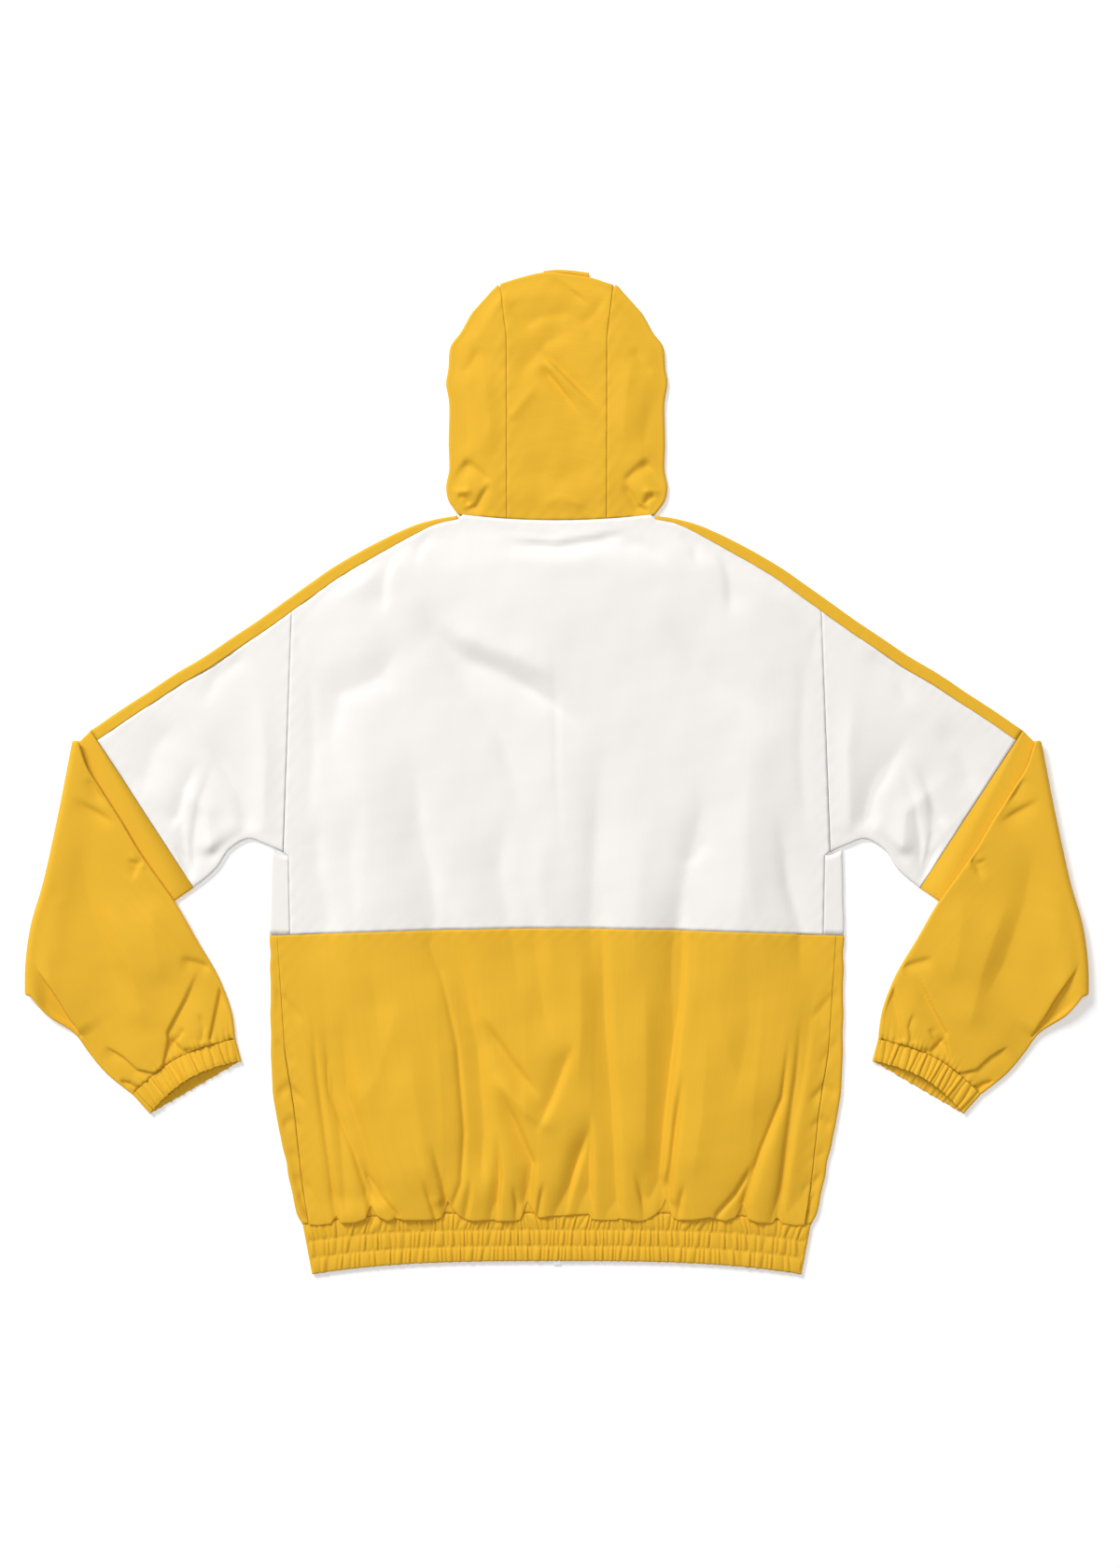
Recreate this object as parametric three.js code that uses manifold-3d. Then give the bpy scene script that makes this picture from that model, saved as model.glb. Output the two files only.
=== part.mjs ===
// A hooded windbreaker laid out on its front, back upwards, with both sleeves folded over at the elbow.
// Millimetres. x runs across the garment, y towards the hood and z up from the table.
import * as THREE from "three";
import { mergeVertices } from "three/addons/utils/BufferGeometryUtils.js";
import Module from "manifold-3d";

const { lerp, smoothstep, clamp } = THREE.MathUtils;

// Cloth and how it lies
const WALL = 1.2; // shell cloth with its turnings
const SEAM_GAP = 0.3; // between two pieces that are sewn together
const LAID = 5; // height of two layers and the air between them
const FOLD = LAID / 2; // outer radius of a side fold
const TURN_STEPS = 3; // flat facets round a side fold
const LEAST_LAID = 3.4; // lowest that a trough may press the upper layer
const SETTLE = 26; // creases come in over this distance from a fold
const SIDE_SETTLE = 42; // and over this one from a side seam
const SEAM_SETTLE = 14; // and over this one from a seam of the hood

// Driving sizes of the garment
const HEM_Y = -482.3; // lower edge of the hem band at the centre
const HEM_CORNER_DROP = 13.2; // the band's ends hang lower than its centre
const HEM_HALF = { top: 250.7, bottom: 241.5 };
const BAND_TOP_Y = -435;
const BAND_TOP_DROP = 11.5;
const STITCH_ROWS = [0, 0.36, 0.63, 1]; // places of the band's two stitched rows between its edges
const HEM_PLEATS = 66;
const CUFF_PLEATS = 20; // on each side of a cuff
const PLEAT = { hem: 0.9, cuff: 0.7 }; // half height of an elastic pleat
const PINCH = 0.45; // how much of a pleat is left at a stitched row
const COLOUR_SEAM = { y: -154, drop: 7.4, half: 283 }; // where the white meets the yellow
const NECK = { y: 248, rise: 6, half: 95, dip: 9 }; // its seam rises to the sides, and dips in front
const ZIP_EDGE = 5; // from the centre to the edge of either front
const CHIN_Y = 180;

// The body's side folds: half width at each height
const SIDE_FOLD = [
  { y: -447, half: 250.7 },
  { y: -440, half: 254.5 },
  { y: -412, half: 261.3 },
  { y: -371, half: 269.6 },
  { y: -330, half: 277.8 },
  { y: -290, half: 281.5 },
  { y: -200, half: 282.5 },
  { y: -150, half: 283.5 },
  { y: -80, half: 281.5 },
];

// The side seam shows on the back, inside the fold
const LOWER_SIDE_SEAM = [
  { y: -447, half: 244.5 },
  { y: -410, half: 250.7 },
  { y: -332, half: 259 },
  { y: -276, half: 268 },
  { y: -163, half: 275.5 },
];
const UNDERARM_Y = { below: -82.2, above: -79 }; // the side seam ends and the armhole begins
const UPPER_SIDE_SEAM = [
  { y: -163, half: 263 },
  { y: UNDERARM_Y.below, half: 264.5 },
  { y: UNDERARM_Y.above, half: 269.5 },
  { y: 156.5, half: 261 },
];

// Stripe over the shoulder and down the sleeve: its outer fold, and how far it shows inside that
const STRIPE = [
  { x: -98, y: 252.8, wide: 4 },
  { x: -119, y: 249.3, wide: 5 },
  { x: -144, y: 242, wide: 9 },
  { x: -181, y: 224.5, wide: 11.5 },
  { x: -218, y: 203.5, wide: 12 },
  { x: -243, y: 186.3, wide: 12.3 },
  { x: -268.5, y: 168.2, wide: 12.5 },
  { x: -295, y: 149.2, wide: 12.5 },
  { x: -322, y: 131.2, wide: 12.5 },
  { x: -349, y: 112.9, wide: 12.5 },
  { x: -376, y: 97, wide: 12.3 },
  { x: -403, y: 78.8, wide: 12 },
  { x: -430, y: 61.3, wide: 12 },
  { x: -459.5, y: 41, wide: 12 },
];
const ARMHOLE_ROW = 6; // row of STRIPE where the armhole meets it

// Lower fold of the upper sleeve, from the underarm to the colour seam
const UNDERARM = [
  { x: -270, y: -79 },
  { x: -286.6, y: -71.8 },
  { x: -303, y: -66.3 },
  { x: -322.5, y: -76.4 },
  { x: -335.3, y: -94.8 },
  { x: -357.8, y: -114.4 },
];

// Elbow: the straight fold, and the two long edges of the forearm that lies over the upper arm
const ELBOW = { top: [-477, 31.3], bottom: [-524, -220], clear: 1.5, steps: 5 };
const COLOUR_SEAM_SLEEVE = { upper: [-459.7, 40.8], lower: [-357.96, -114.68] };
const FOREARM_INNER = [
  { x: -461.4, y: 3.7 },
  { x: -429.2, y: -47.8 },
  { x: -408, y: -82.8 },
  { x: -373, y: -129.7 },
  { x: -355.6, y: -163.8 },
  { x: -339, y: -195 },
  { x: -322.5, y: -231.8 },
  { x: -317, y: -263.5 },
];
const FOREARM_OUTER = [
  { x: -503.7, y: -238.3 },
  { x: -473.3, y: -260.4 },
  { x: -463.2, y: -275 },
  { x: -445.7, y: -296.2 },
  { x: -418.4, y: -318.3 },
];
const ARM_DIRECTION = [-0.858, -0.513]; // the hidden lower edge of the upper arm runs this way
const OVERLAP = { rest: 0.5, near: 4, reach: 44, settle: 34 };
const CUFF = { inner: [-311.4, -284.8], outer: [-401.6, -337.4], bow: 9, hiddenBow: 3, open: 4 };

// Hood: half width of the centre panel, and rows of a side panel from the centre seam (s)
// to the outline (o) and back under to the edge round the face (g)
const CROWN = { half: 56, underY: 402 };
const CROWN_EDGE = [
  { x: -56, y: 481.5 },
  { x: -33.6, y: 488.5 },
  { x: -11.2, y: 493 },
  { x: 11.2, y: 491.3 },
  { x: 33.6, y: 487.7 },
  { x: 56, y: 480.7 },
];
const HOOD_SEAM = [
  { y: 248, half: 49.3 },
  { y: 428, half: 49.6 },
  { y: 477, half: 55.7 },
  { y: 500, half: 56 },
];
const HOOD_SIDE = [
  { sy: 250, ox: 95.5, oy: 254.2, gx: 5, gy: 180.5 },
  { sy: 262, ox: 101.5, oy: 261, gx: 10, gy: 205 },
  { sy: 275, ox: 107, oy: 270, gx: 14, gy: 225 },
  { sy: 292, ox: 109, oy: 281, gx: 20, gy: 252 },
  { sy: 325, ox: 106.8, oy: 320, gx: 30, gy: 300 },
  { sy: 365, ox: 107.3, oy: 365, gx: 44, gy: 350 },
  { sy: 400, ox: 109, oy: 395, gx: 56.2, gy: 396 },
  { sy: 428, ox: 101.5, oy: 423.5, gx: 56.2, gy: 412 },
  { sy: 448, ox: 87.5, oy: 443, gx: 56.2, gy: 430 },
  { sy: 462, ox: 79, oy: 457, gx: 56.2, gy: 446 },
  { sy: 471, ox: 68.5, oy: 470, gx: 56.4, gy: 459 },
  { sy: 477, ox: 58.6, oy: 481, gx: 57.2, gy: 471 },
];

// The strip that peeps out over the crown, clear of the crown's own edge
const HOOD_HEM = [
  { x: -13, low: 493.2, top: 493.9 },
  { x: -1, low: 492.7, top: 495.4 },
  { x: 10, low: 491.9, top: 495.1 },
  { x: 21, low: 490.3, top: 494 },
  { x: 32, low: 488.5, top: 492.3 },
];

// Gathers of the lower back: each line's place at the colour seam and at the band, and its height
const GATHERS = [
  { atSeam: -275.5, atBand: -244.5, rise: 0 },
  { atSeam: -266, atBand: -232, rise: 2.6 },
  { atSeam: -256, atBand: -218, rise: -2.6 },
  { atSeam: -243, atBand: -200, rise: 3.4 },
  { atSeam: -231, atBand: -183, rise: -3 },
  { atSeam: -207, atBand: -171, rise: 1.8 },
  { atSeam: -190, atBand: -160, rise: -1.6 },
  { atSeam: -163, atBand: -135, rise: 4.2 },
  { atSeam: -141, atBand: -107, rise: -2.2 },
  { atSeam: -133, atBand: -98, rise: 1.2 },
  { atSeam: -124, atBand: -89.5, rise: -3.4 },
  { atSeam: -100, atBand: -74, rise: 3 },
  { atSeam: -78, atBand: -59, rise: -2 },
  { atSeam: -62, atBand: -44, rise: 3 },
  { atSeam: -46, atBand: -29, rise: -3.2 },
  { atSeam: -22, atBand: -12, rise: 3.4 },
  { atSeam: 4, atBand: 8, rise: -3.4 },
  { atSeam: 20, atBand: 30, rise: 4 },
  { atSeam: 39, atBand: 59, rise: -2.6 },
  { atSeam: 75, atBand: 80, rise: 4 },
  { atSeam: 112, atBand: 101, rise: -3.4 },
  { atSeam: 138, atBand: 128, rise: 4.4 },
  { atSeam: 176, atBand: 158, rise: -1.6 },
  { atSeam: 198, atBand: 170, rise: 2 },
  { atSeam: 226, atBand: 183.5, rise: -3 },
  { atSeam: 241, atBand: 200, rise: 3.2 },
  { atSeam: 255, atBand: 219, rise: -2.6 },
  { atSeam: 266, atBand: 233, rise: 2.4 },
  { atSeam: 275.5, atBand: 244.5, rise: 0 },
];

// The lower back swells above the band: shares of its length, and the gathers' depth at the colour seam
const BLOUSE = { rise: 5.2, from: 0.25, crest: 0.93, end: 1.02, lip: 0.4, least: 0.12 };
const LOWER_BACK_ROWS = [0, 0.12, 0.25, 0.38, 0.5, 0.61, 0.71, 0.8, 0.87, 0.93, 0.975, 1];

// Soft creases elsewhere: a line, how wide it spreads and how high (or deep) it is
const UPPER_CREASES = [
  { x0: -160, y0: 217, x1: -172, y1: 150, half: 12, rise: -1.2 },
  { x0: 160, y0: 217, x1: 172, y1: 150, half: 12, rise: -1.1 },
  { x0: -262, y0: -60, x1: -190, y1: -20, half: 16, rise: -1.3 },
  { x0: 262, y0: -60, x1: 196, y1: -12, half: 16, rise: -1.2 },
  { x0: -240, y0: -100, x1: -150, y1: -128, half: 15, rise: 1.6 },
  { x0: 236, y0: -96, x1: 150, y1: -130, half: 15, rise: 1.4 },
  { x0: -90, y0: -150, x1: -120, y1: -40, half: 20, rise: 1.4 },
  { x0: 60, y0: -150, x1: 90, y1: -20, half: 22, rise: 1.3 },
];
const SLEEVE_CREASES = [
  { x0: -300, y0: -60, x1: -330, y1: 40, half: 12, rise: -1.3 },
  { x0: 300, y0: -60, x1: 334, y1: 34, half: 12, rise: -1.3 },
  { x0: -275, y0: -50, x1: -292, y1: 100, half: 13, rise: 1.6 },
  { x0: 275, y0: -50, x1: 290, y1: 104, half: 13, rise: 1.5 },
];
const FOREARM_CREASES = [
  { x0: -520, y0: -160, x1: -470, y1: -258, half: 9, rise: -1.8 },
  { x0: 520, y0: -160, x1: 472, y1: -256, half: 9, rise: -1.8 },
  { x0: -324, y0: -214, x1: -372, y1: -292, half: 9, rise: -2 },
  { x0: 324, y0: -214, x1: 372, y1: -292, half: 9, rise: -2 },
  { x0: -440, y0: -90, x1: -396, y1: -262, half: 26, rise: 2.6 },
  { x0: 440, y0: -90, x1: 398, y1: -262, half: 26, rise: 2.5 },
];
const HOOD_CREASES = [
  { x0: -6, y0: 492, x1: 36, y1: 456, half: 11, rise: -1.4 },
  { x0: -10, y0: 420, x1: 50, y1: 352, half: 15, rise: 2.2 },
  { x0: -78, y0: 306, x1: -106, y1: 280, half: 9, rise: -1.7 },
  { x0: 78, y0: 306, x1: 106, y1: 280, half: 9, rise: -1.7 },
  { x0: -76, y0: 390, x1: -84, y1: 300, half: 18, rise: 1.8 },
  { x0: 76, y0: 392, x1: 82, y1: 300, half: 18, rise: 1.7 },
];

// Zip down the centre front, underneath, with its slider at the neck
const ZIP = {
  tape: { half: 14, low: 1.75, high: 2.25 },
  teeth: { half: 2.8, low: 0.8, high: 2.8 },
  top: 175,
  bottom: -479,
};
const ZIP_LIFT = { front: 2.8, back: 3.8, from: 79, full: 130, hold: 206, to: 246, spread: [15, 46] };
const SLIDER = { y: 171.5, half: 4.5, long: 13, plate: 0.9, low: 2.4, high: 5.9, post: 1.3 };
const BRIDGE = { half: 1.1, from: 166.2, to: 176.2, leg: 1.5, low: 0.3, bar: 0.9 };
const PULL = { pivotY: 169.4, pivotZ: 1.78, long: 25, half: 3.6, thick: 0.8, slot: 1.6, eye: 7.4 };
const ZIP_BOX = { half: 3.4, long: 7, thick: 2.2 };

const COLOURS = { yellow: 0xedba38, white: 0xf5f2ed, tape: 0xe8b233, metal: 0xb9bcc0 };
const cloth = (colour) =>
  new THREE.MeshStandardMaterial({ color: colour, roughness: 0.62, metalness: 0 });
const YELLOW = cloth(COLOURS.yellow);
const WHITE = cloth(COLOURS.white);
const TAPE = cloth(COLOURS.tape);
const METAL = new THREE.MeshStandardMaterial({ color: COLOURS.metal, roughness: 0.35, metalness: 0.9 });

const jacket = new THREE.Group();

function add(name, geometry, material) {
  const mesh = new THREE.Mesh(geometry, material);
  mesh.name = name;
  jacket.add(mesh);
}

// One column of a table, read between the rows that lie either side of `place`.
function read(table, key, place, column) {
  const next = table.findIndex((row) => row[key] >= place);
  if (next === 0) return table[0][column];
  if (next < 0) return table[table.length - 1][column];
  const before = table[next - 1];
  const after = table[next];
  return lerp(before[column], after[column], (place - before[key]) / (after[key] - before[key]));
}

// A point on a path of straight lengths, by the share of its length.
function onPath(points, share) {
  const lengths = points.slice(1).map((p, k) => Math.hypot(p[0] - points[k][0], p[1] - points[k][1]));
  let left = share * lengths.reduce((sum, length) => sum + length, 0);
  for (let k = 0; k < lengths.length; k++) {
    if (left <= lengths[k] || k === lengths.length - 1)
      return between(points[k], points[k + 1], Math.min(1, left / lengths[k]));
    left -= lengths[k];
  }
}

const between = (a, b, share) => [lerp(a[0], b[0], share), lerp(a[1], b[1], share)];
const towards = (a, b) => new THREE.Vector2(b[0] - a[0], b[1] - a[1]).normalize();
const steps = (count) => Array.from({ length: count + 1 }, (_, k) => k / count);
const colourSeamY = (x) => COLOUR_SEAM.y - COLOUR_SEAM.drop * (Math.abs(x) / COLOUR_SEAM.half) ** 1.5;
const bandTopY = (x) => BAND_TOP_Y - BAND_TOP_DROP * (Math.abs(x) / HEM_HALF.top) ** 4;
const bandBottomY = (x) => HEM_Y - HEM_CORNER_DROP * (Math.abs(x) / HEM_HALF.bottom) ** 3;
const neckY = (x) => NECK.y + NECK.rise * (x / NECK.half) ** 2;

// How far the cloth stands up over the slider, as a share of its full lift.
function liftShare(x, y) {
  const along = smoothstep(y, ZIP_LIFT.from, ZIP_LIFT.full) - smoothstep(y, ZIP_LIFT.hold, ZIP_LIFT.to);
  return along * (1 - smoothstep(Math.abs(x), ZIP_LIFT.spread[0], ZIP_LIFT.spread[1]));
}

// Height that a table of creases adds at a place: each is full along its middle and fades at its ends.
function creased(creases, x, y) {
  let rise = 0;
  for (const crease of creases) {
    const dx = crease.x1 - crease.x0;
    const dy = crease.y1 - crease.y0;
    const length = Math.hypot(dx, dy);
    const along = ((x - crease.x0) * dx + (y - crease.y0) * dy) / length ** 2;
    const across = ((x - crease.x0) * dy - (y - crease.y0) * dx) / length / crease.half;
    const fade = smoothstep(along, -0.15, 0.25) - smoothstep(along, 0.75, 1.15);
    rise += crease.rise * fade * Math.exp(-across * across);
  }
  return rise;
}

// Two points through the wall: one on the outside of the garment and one on its inside.
const upperPair = (x, y, z) => ({ out: [x, y, z], in: [x, y, z - WALL] });
const lowerPair = (x, y, z) => ({ out: [x, y, z], in: [x, y, z + WALL] });

// Changes of a row of pairs: any change of a point, and one that sets y from x.
const mapped = (row, change) => row.map((pair) => ({ out: change(pair.out), in: change(pair.in) }));
const levelled = (yAt) => ([x, , z]) => [x, yAt(x), z];

// The wall round a side fold at `edge`, from the upper layer coming from `from` to the lower one
// going to `to`.
function turn(edge, from, to) {
  const upper = towards(from, edge);
  const lower = towards(to, edge);
  return steps(TURN_STEPS).map((share) => {
    const angle = Math.PI * (0.5 - share);
    const way = upper.clone().lerp(lower, share).normalize();
    const at = (radius) => {
      const back = FOLD - radius * Math.cos(angle);
      return [edge[0] - way.x * back, edge[1] - way.y * back, FOLD + radius * Math.sin(angle)];
    };
    return { out: at(FOLD), in: at(FOLD - WALL) };
  });
}

// One section of a folded piece: over from `start` to the fold at `edge`, round it, and under to `end`.
function foldedRow({ start, edge, end, over, under, relief = () => 0, lift = () => 0, sag = 0 }) {
  const outer = turn(edge, start, end);
  const topEnd = outer[0].out;
  const lowEnd = outer[TURN_STEPS].out;
  const upper = over.slice(0, -1).map((share) => {
    const [x, y] = between(start, topEnd, share);
    const flat = smoothstep(Math.hypot(edge[0] - x, edge[1] - y), FOLD, SETTLE);
    return upperPair(x, y, Math.max(LEAST_LAID, LAID + relief(x, y) * flat));
  });
  const lower = under.slice(1).map((share) => {
    const [x, y] = between(lowEnd, end, share);
    const dip = sag * Math.sin(Math.PI * share);
    return lowerPair(x, y - dip, lift(x, y - dip));
  });
  return [...upper, ...outer, ...lower];
}

// One section all round a tube from fold `a` to fold `b` and back. `above` and `below` give each
// layer's height and its shift along the tube at a share of the width.
function ringRow(a, b, above, below, overShares, underShares, shiftWay) {
  const turnB = turn(b, a, a);
  const turnA = turn(a, b, b).reverse();
  const layer = (from, to, shares, shape, pair) =>
    shares.slice(1, -1).map((share, k) => {
      const across = from === turnB[TURN_STEPS].out ? 1 - share : share;
      const { height, shift } = shape(across, k);
      const [x, y] = between(from, to, share);
      return pair(x + shiftWay.x * shift, y + shiftWay.y * shift, height);
    });
  const upper = layer(turnA[TURN_STEPS].out, turnB[0].out, overShares, above, upperPair);
  const lower = layer(turnB[TURN_STEPS].out, turnA[0].out, underShares, below, lowerPair);
  return [...upper, ...turnB, ...lower, ...turnA];
}

// Turns the faces round where they enclose a negative volume, so that they look outwards.
function facingOut(spots, faces) {
  const corner = (k) => new THREE.Vector3().fromArray(spots, faces[k] * 3);
  let volume = 0;
  for (let k = 0; k < faces.length; k += 3)
    volume += corner(k).dot(corner(k + 1).cross(corner(k + 2)));
  const geometry = new THREE.BufferGeometry();
  geometry.setAttribute("position", new THREE.Float32BufferAttribute(spots, 3));
  geometry.setIndex(volume < 0 ? faces.reverse() : faces);
  return geometry;
}

// A closed wall from rows of point pairs, with rims along its edges. `has` tells which cells exist.
function clothWall(rows, { ring = false, has = () => true } = {}) {
  const across = rows[0].length;
  const cells = ring ? across : across - 1;
  const spots = [...rows.flat().flatMap((pair) => pair.out), ...rows.flat().flatMap((pair) => pair.in)];
  const outAt = (i, j) => i * across + (j % across);
  const inAt = (i, j) => rows.length * across + outAt(i, j);
  const kept = (i, j) =>
    i >= 0 && i < rows.length - 1 && (ring || (j >= 0 && j < cells)) && has(i, (j + cells) % cells);
  const faces = [];
  const quad = (a, b, c, d) => faces.push(a, b, c, a, c, d);
  for (let i = 0; i < rows.length - 1; i++)
    for (let j = 0; j < cells; j++) {
      if (!kept(i, j)) continue;
      quad(outAt(i, j), outAt(i, j + 1), outAt(i + 1, j + 1), outAt(i + 1, j));
      quad(inAt(i + 1, j), inAt(i + 1, j + 1), inAt(i, j + 1), inAt(i, j));
      if (!kept(i - 1, j)) quad(inAt(i, j), inAt(i, j + 1), outAt(i, j + 1), outAt(i, j));
      if (!kept(i + 1, j))
        quad(outAt(i + 1, j), outAt(i + 1, j + 1), inAt(i + 1, j + 1), inAt(i + 1, j));
      if (!kept(i, j - 1)) quad(outAt(i, j), outAt(i + 1, j), inAt(i + 1, j), inAt(i, j));
      if (!kept(i, j + 1))
        quad(inAt(i, j + 1), inAt(i + 1, j + 1), outAt(i + 1, j + 1), outAt(i, j + 1));
    }
  return facingOut(spots, faces);
}

// The inner edge of the shoulder stripe at one of its rows, on the left (side -1) or the right (1).
function stripeInner(row, side, gap = 0) {
  const at = STRIPE[row];
  const before = STRIPE[Math.max(0, row - 1)];
  const after = STRIPE[Math.min(STRIPE.length - 1, row + 1)];
  const way = towards([before.x, before.y], [after.x, after.y]);
  const wide = at.wide + gap;
  return [-side * (at.x - way.y * wide), at.y + way.x * wide];
}

const stripeOuter = (row, side) => [-side * STRIPE[row].x, STRIPE[row].y];
const seamRow = (row) => stripeInner(row, 1, SEAM_GAP);

// Top edge of the upper body as columns from the armhole to the neck's centre: the stripe, then the neck.
function shoulderColumns(neckShares, neckline) {
  const along = steps(ARMHOLE_ROW).map((share) => seamRow(Math.round(ARMHOLE_ROW * (1 - share))));
  const corner = along[ARMHOLE_ROW][0];
  const neck = neckShares.map((share) => {
    const x = lerp(corner, 0, share);
    return [x, neckline(x) - SEAM_GAP];
  });
  return [...along, ...neck];
}

// Shares of the way up the body's side, with two rows at the underarm and more below and above it.
function upperRows([sideX, sideTop], below, above) {
  const low = colourSeamY(sideX) + SEAM_GAP / 2;
  const shareAt = (y) => (y - low) / (sideTop - low);
  return [0, ...below, shareAt(UNDERARM_Y.below), shareAt(UNDERARM_Y.above), ...above, 1];
}

function backUpper() {
  const half = shoulderColumns([0.36, 0.7, 1], neckY);
  const left = half.map(([x, y]) => [-x, y]);
  const columns = [...left, ...half.slice(0, -1).reverse()];
  const widest = half[0][0];
  const relief = (x, y) => creased(UPPER_CREASES, x, y) + ZIP_LIFT.back * liftShare(x, y);
  const rows = upperRows(half[0], [0.12], [0.36, 0.47, 0.58, 0.69, 0.79, 0.89]).map((share) =>
    columns.map(([topX, topY]) => {
      const y = lerp(colourSeamY(topX) + SEAM_GAP / 2, topY, share);
      const x = (topX / widest) * (read(UPPER_SIDE_SEAM, "y", y, "half") - SEAM_GAP);
      const edge = smoothstep(widest - Math.abs(topX), 0, SIDE_SETTLE) * smoothstep(1 - share, 0, 0.1);
      return upperPair(share === 1 ? topX : x, y, Math.max(LEAST_LAID, LAID + relief(x, y) * edge));
    }),
  );
  return clothWall(rows);
}

// Heights of the lower back down a gather line: it swells above the band and tucks in at its seam.
function blouse(share) {
  const swell = smoothstep(share, BLOUSE.from, BLOUSE.crest);
  const tuck = 1 - smoothstep(share, BLOUSE.crest, BLOUSE.end);
  const growth = lerp(BLOUSE.least, 1, swell) * tuck;
  return { swell: BLOUSE.rise * swell * tuck + BLOUSE.lip * swell, growth };
}

const lowerSideY = (share) => lerp(COLOUR_SEAM.y - COLOUR_SEAM.drop, BAND_TOP_Y - BAND_TOP_DROP, share);

function backLower() {
  const seamHalf = GATHERS[GATHERS.length - 1].atSeam;
  const bandHalf = GATHERS[GATHERS.length - 1].atBand;
  const rows = LOWER_BACK_ROWS.map((share) => {
    const { swell, growth } = blouse(share);
    const lean = (seamHalf - read(LOWER_SIDE_SEAM, "y", lowerSideY(share), "half")) / (seamHalf - bandHalf);
    return GATHERS.map(({ atSeam, atBand, rise }) => {
      const x = lerp(atSeam, atBand, clamp(lean, 0, 1));
      const top = colourSeamY(atSeam) - SEAM_GAP / 2;
      const y = lerp(top, bandTopY(atBand) + SEAM_GAP / 2, share);
      const edge = smoothstep(seamHalf - Math.abs(atSeam), 0, SIDE_SETTLE);
      return upperPair(x, y, Math.max(LEAST_LAID, LAID + swell * edge + rise * growth));
    });
  });
  return clothWall(rows);
}

// Widths across an under panel, from the side towards the zip, closer together near the slider.
const UNDER_SHARES = [0, 0.25, 0.5, 0.7, 0.84, 0.92, 1];

function frontLower(side) {
  const rows = LOWER_BACK_ROWS.map((share) => {
    const fold = read(SIDE_FOLD, "y", lowerSideY(share), "half");
    const seam = read(LOWER_SIDE_SEAM, "y", lowerSideY(share), "half") + SEAM_GAP;
    const yAt = (x) => lerp(colourSeamY(x) - SEAM_GAP / 2, bandTopY(x) + SEAM_GAP / 2, share);
    const row = foldedRow({
      start: [side * seam, 0],
      edge: [side * fold, 0],
      end: [side * ZIP_EDGE, 0],
      over: steps(1),
      under: UNDER_SHARES,
    });
    return mapped(row, levelled(yAt));
  });
  return clothWall(rows);
}

// Each front's upper edge runs down from the end of the shoulder to the chin.
function frontNeckline(x) {
  const share = clamp((Math.abs(x) - ZIP_EDGE) / (NECK.half - ZIP_EDGE), 0, 1);
  return lerp(CHIN_Y, neckY(NECK.half) - 1, share) - NECK.dip * Math.sin(Math.PI * share);
}

function frontUpper(side) {
  const widest = seamRow(ARMHOLE_ROW)[0];
  const shoulder = shoulderColumns([0.3, 0.6, 0.82], frontNeckline);
  const columns = [...shoulder, [ZIP_EDGE, CHIN_Y - SEAM_GAP]];
  const foldRows = 2; // the cloth wraps round the side below the armhole only
  const rows = upperRows(columns[0], [0.12], [0.4, 0.55, 0.7, 0.85]).map((share) => {
    const yAt = (topX, topY) => lerp(colourSeamY(topX) + SEAM_GAP / 2, topY, share);
    const sideY = yAt(...columns[0]);
    const half = read(UPPER_SIDE_SEAM, "y", Math.min(sideY, UNDERARM_Y.below), "half");
    const wrap = foldedRow({
      start: [side * (half + SEAM_GAP), sideY],
      edge: [side * read(SIDE_FOLD, "y", sideY, "half"), sideY],
      end: [side * half, sideY],
      over: steps(1),
      under: steps(1),
    }).slice(0, -1);
    const flat = columns.map(([topX, topY]) => {
      const y = yAt(topX, topY);
      const inset = (topX - ZIP_EDGE) / (widest - ZIP_EDGE);
      const x = lerp(ZIP_EDGE, read(UPPER_SIDE_SEAM, "y", y, "half") - SEAM_GAP, inset);
      const place = share === 1 ? topX : x;
      return lowerPair(side * place, y, ZIP_LIFT.front * liftShare(place, y));
    });
    return [...wrap, ...flat];
  });
  const wrapped = rows[0].length - columns.length;
  return clothWall(rows, { has: (i, j) => j >= wrapped || i < foldRows });
}

function shoulderStripe(side) {
  const rows = STRIPE.map((_, row) => {
    const inner = stripeInner(row, side);
    const edge = stripeOuter(row, side);
    return foldedRow({ start: inner, edge, end: inner, over: steps(1), under: steps(1) });
  });
  return clothWall(rows);
}

function sleeveUpper(side) {
  const underarm = UNDERARM.map(({ x, y }) => [-side * x, y]);
  const relief = (x, y) => creased(SLEEVE_CREASES, x, y);
  const first = ARMHOLE_ROW;
  const count = STRIPE.length - 1 - first;
  const rows = steps(count).map((share, k) => {
    const inner = stripeInner(first + k, side, SEAM_GAP);
    const start = k === 0 ? [inner[0] + side * SEAM_GAP, inner[1]] : inner;
    const edge = onPath(underarm, share);
    return foldedRow({ start, edge, end: start, over: steps(8), under: steps(4), relief });
  });
  return clothWall(rows);
}

const elbowOut = towards(ELBOW.bottom, ELBOW.top).rotateAround(new THREE.Vector2(), Math.PI / 2);
const BEND_HEIGHT = LAID + ELBOW.clear;
const inward = (point) => [point[0] - elbowOut.x * BEND_HEIGHT, point[1] - elbowOut.y * BEND_HEIGHT];

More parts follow.
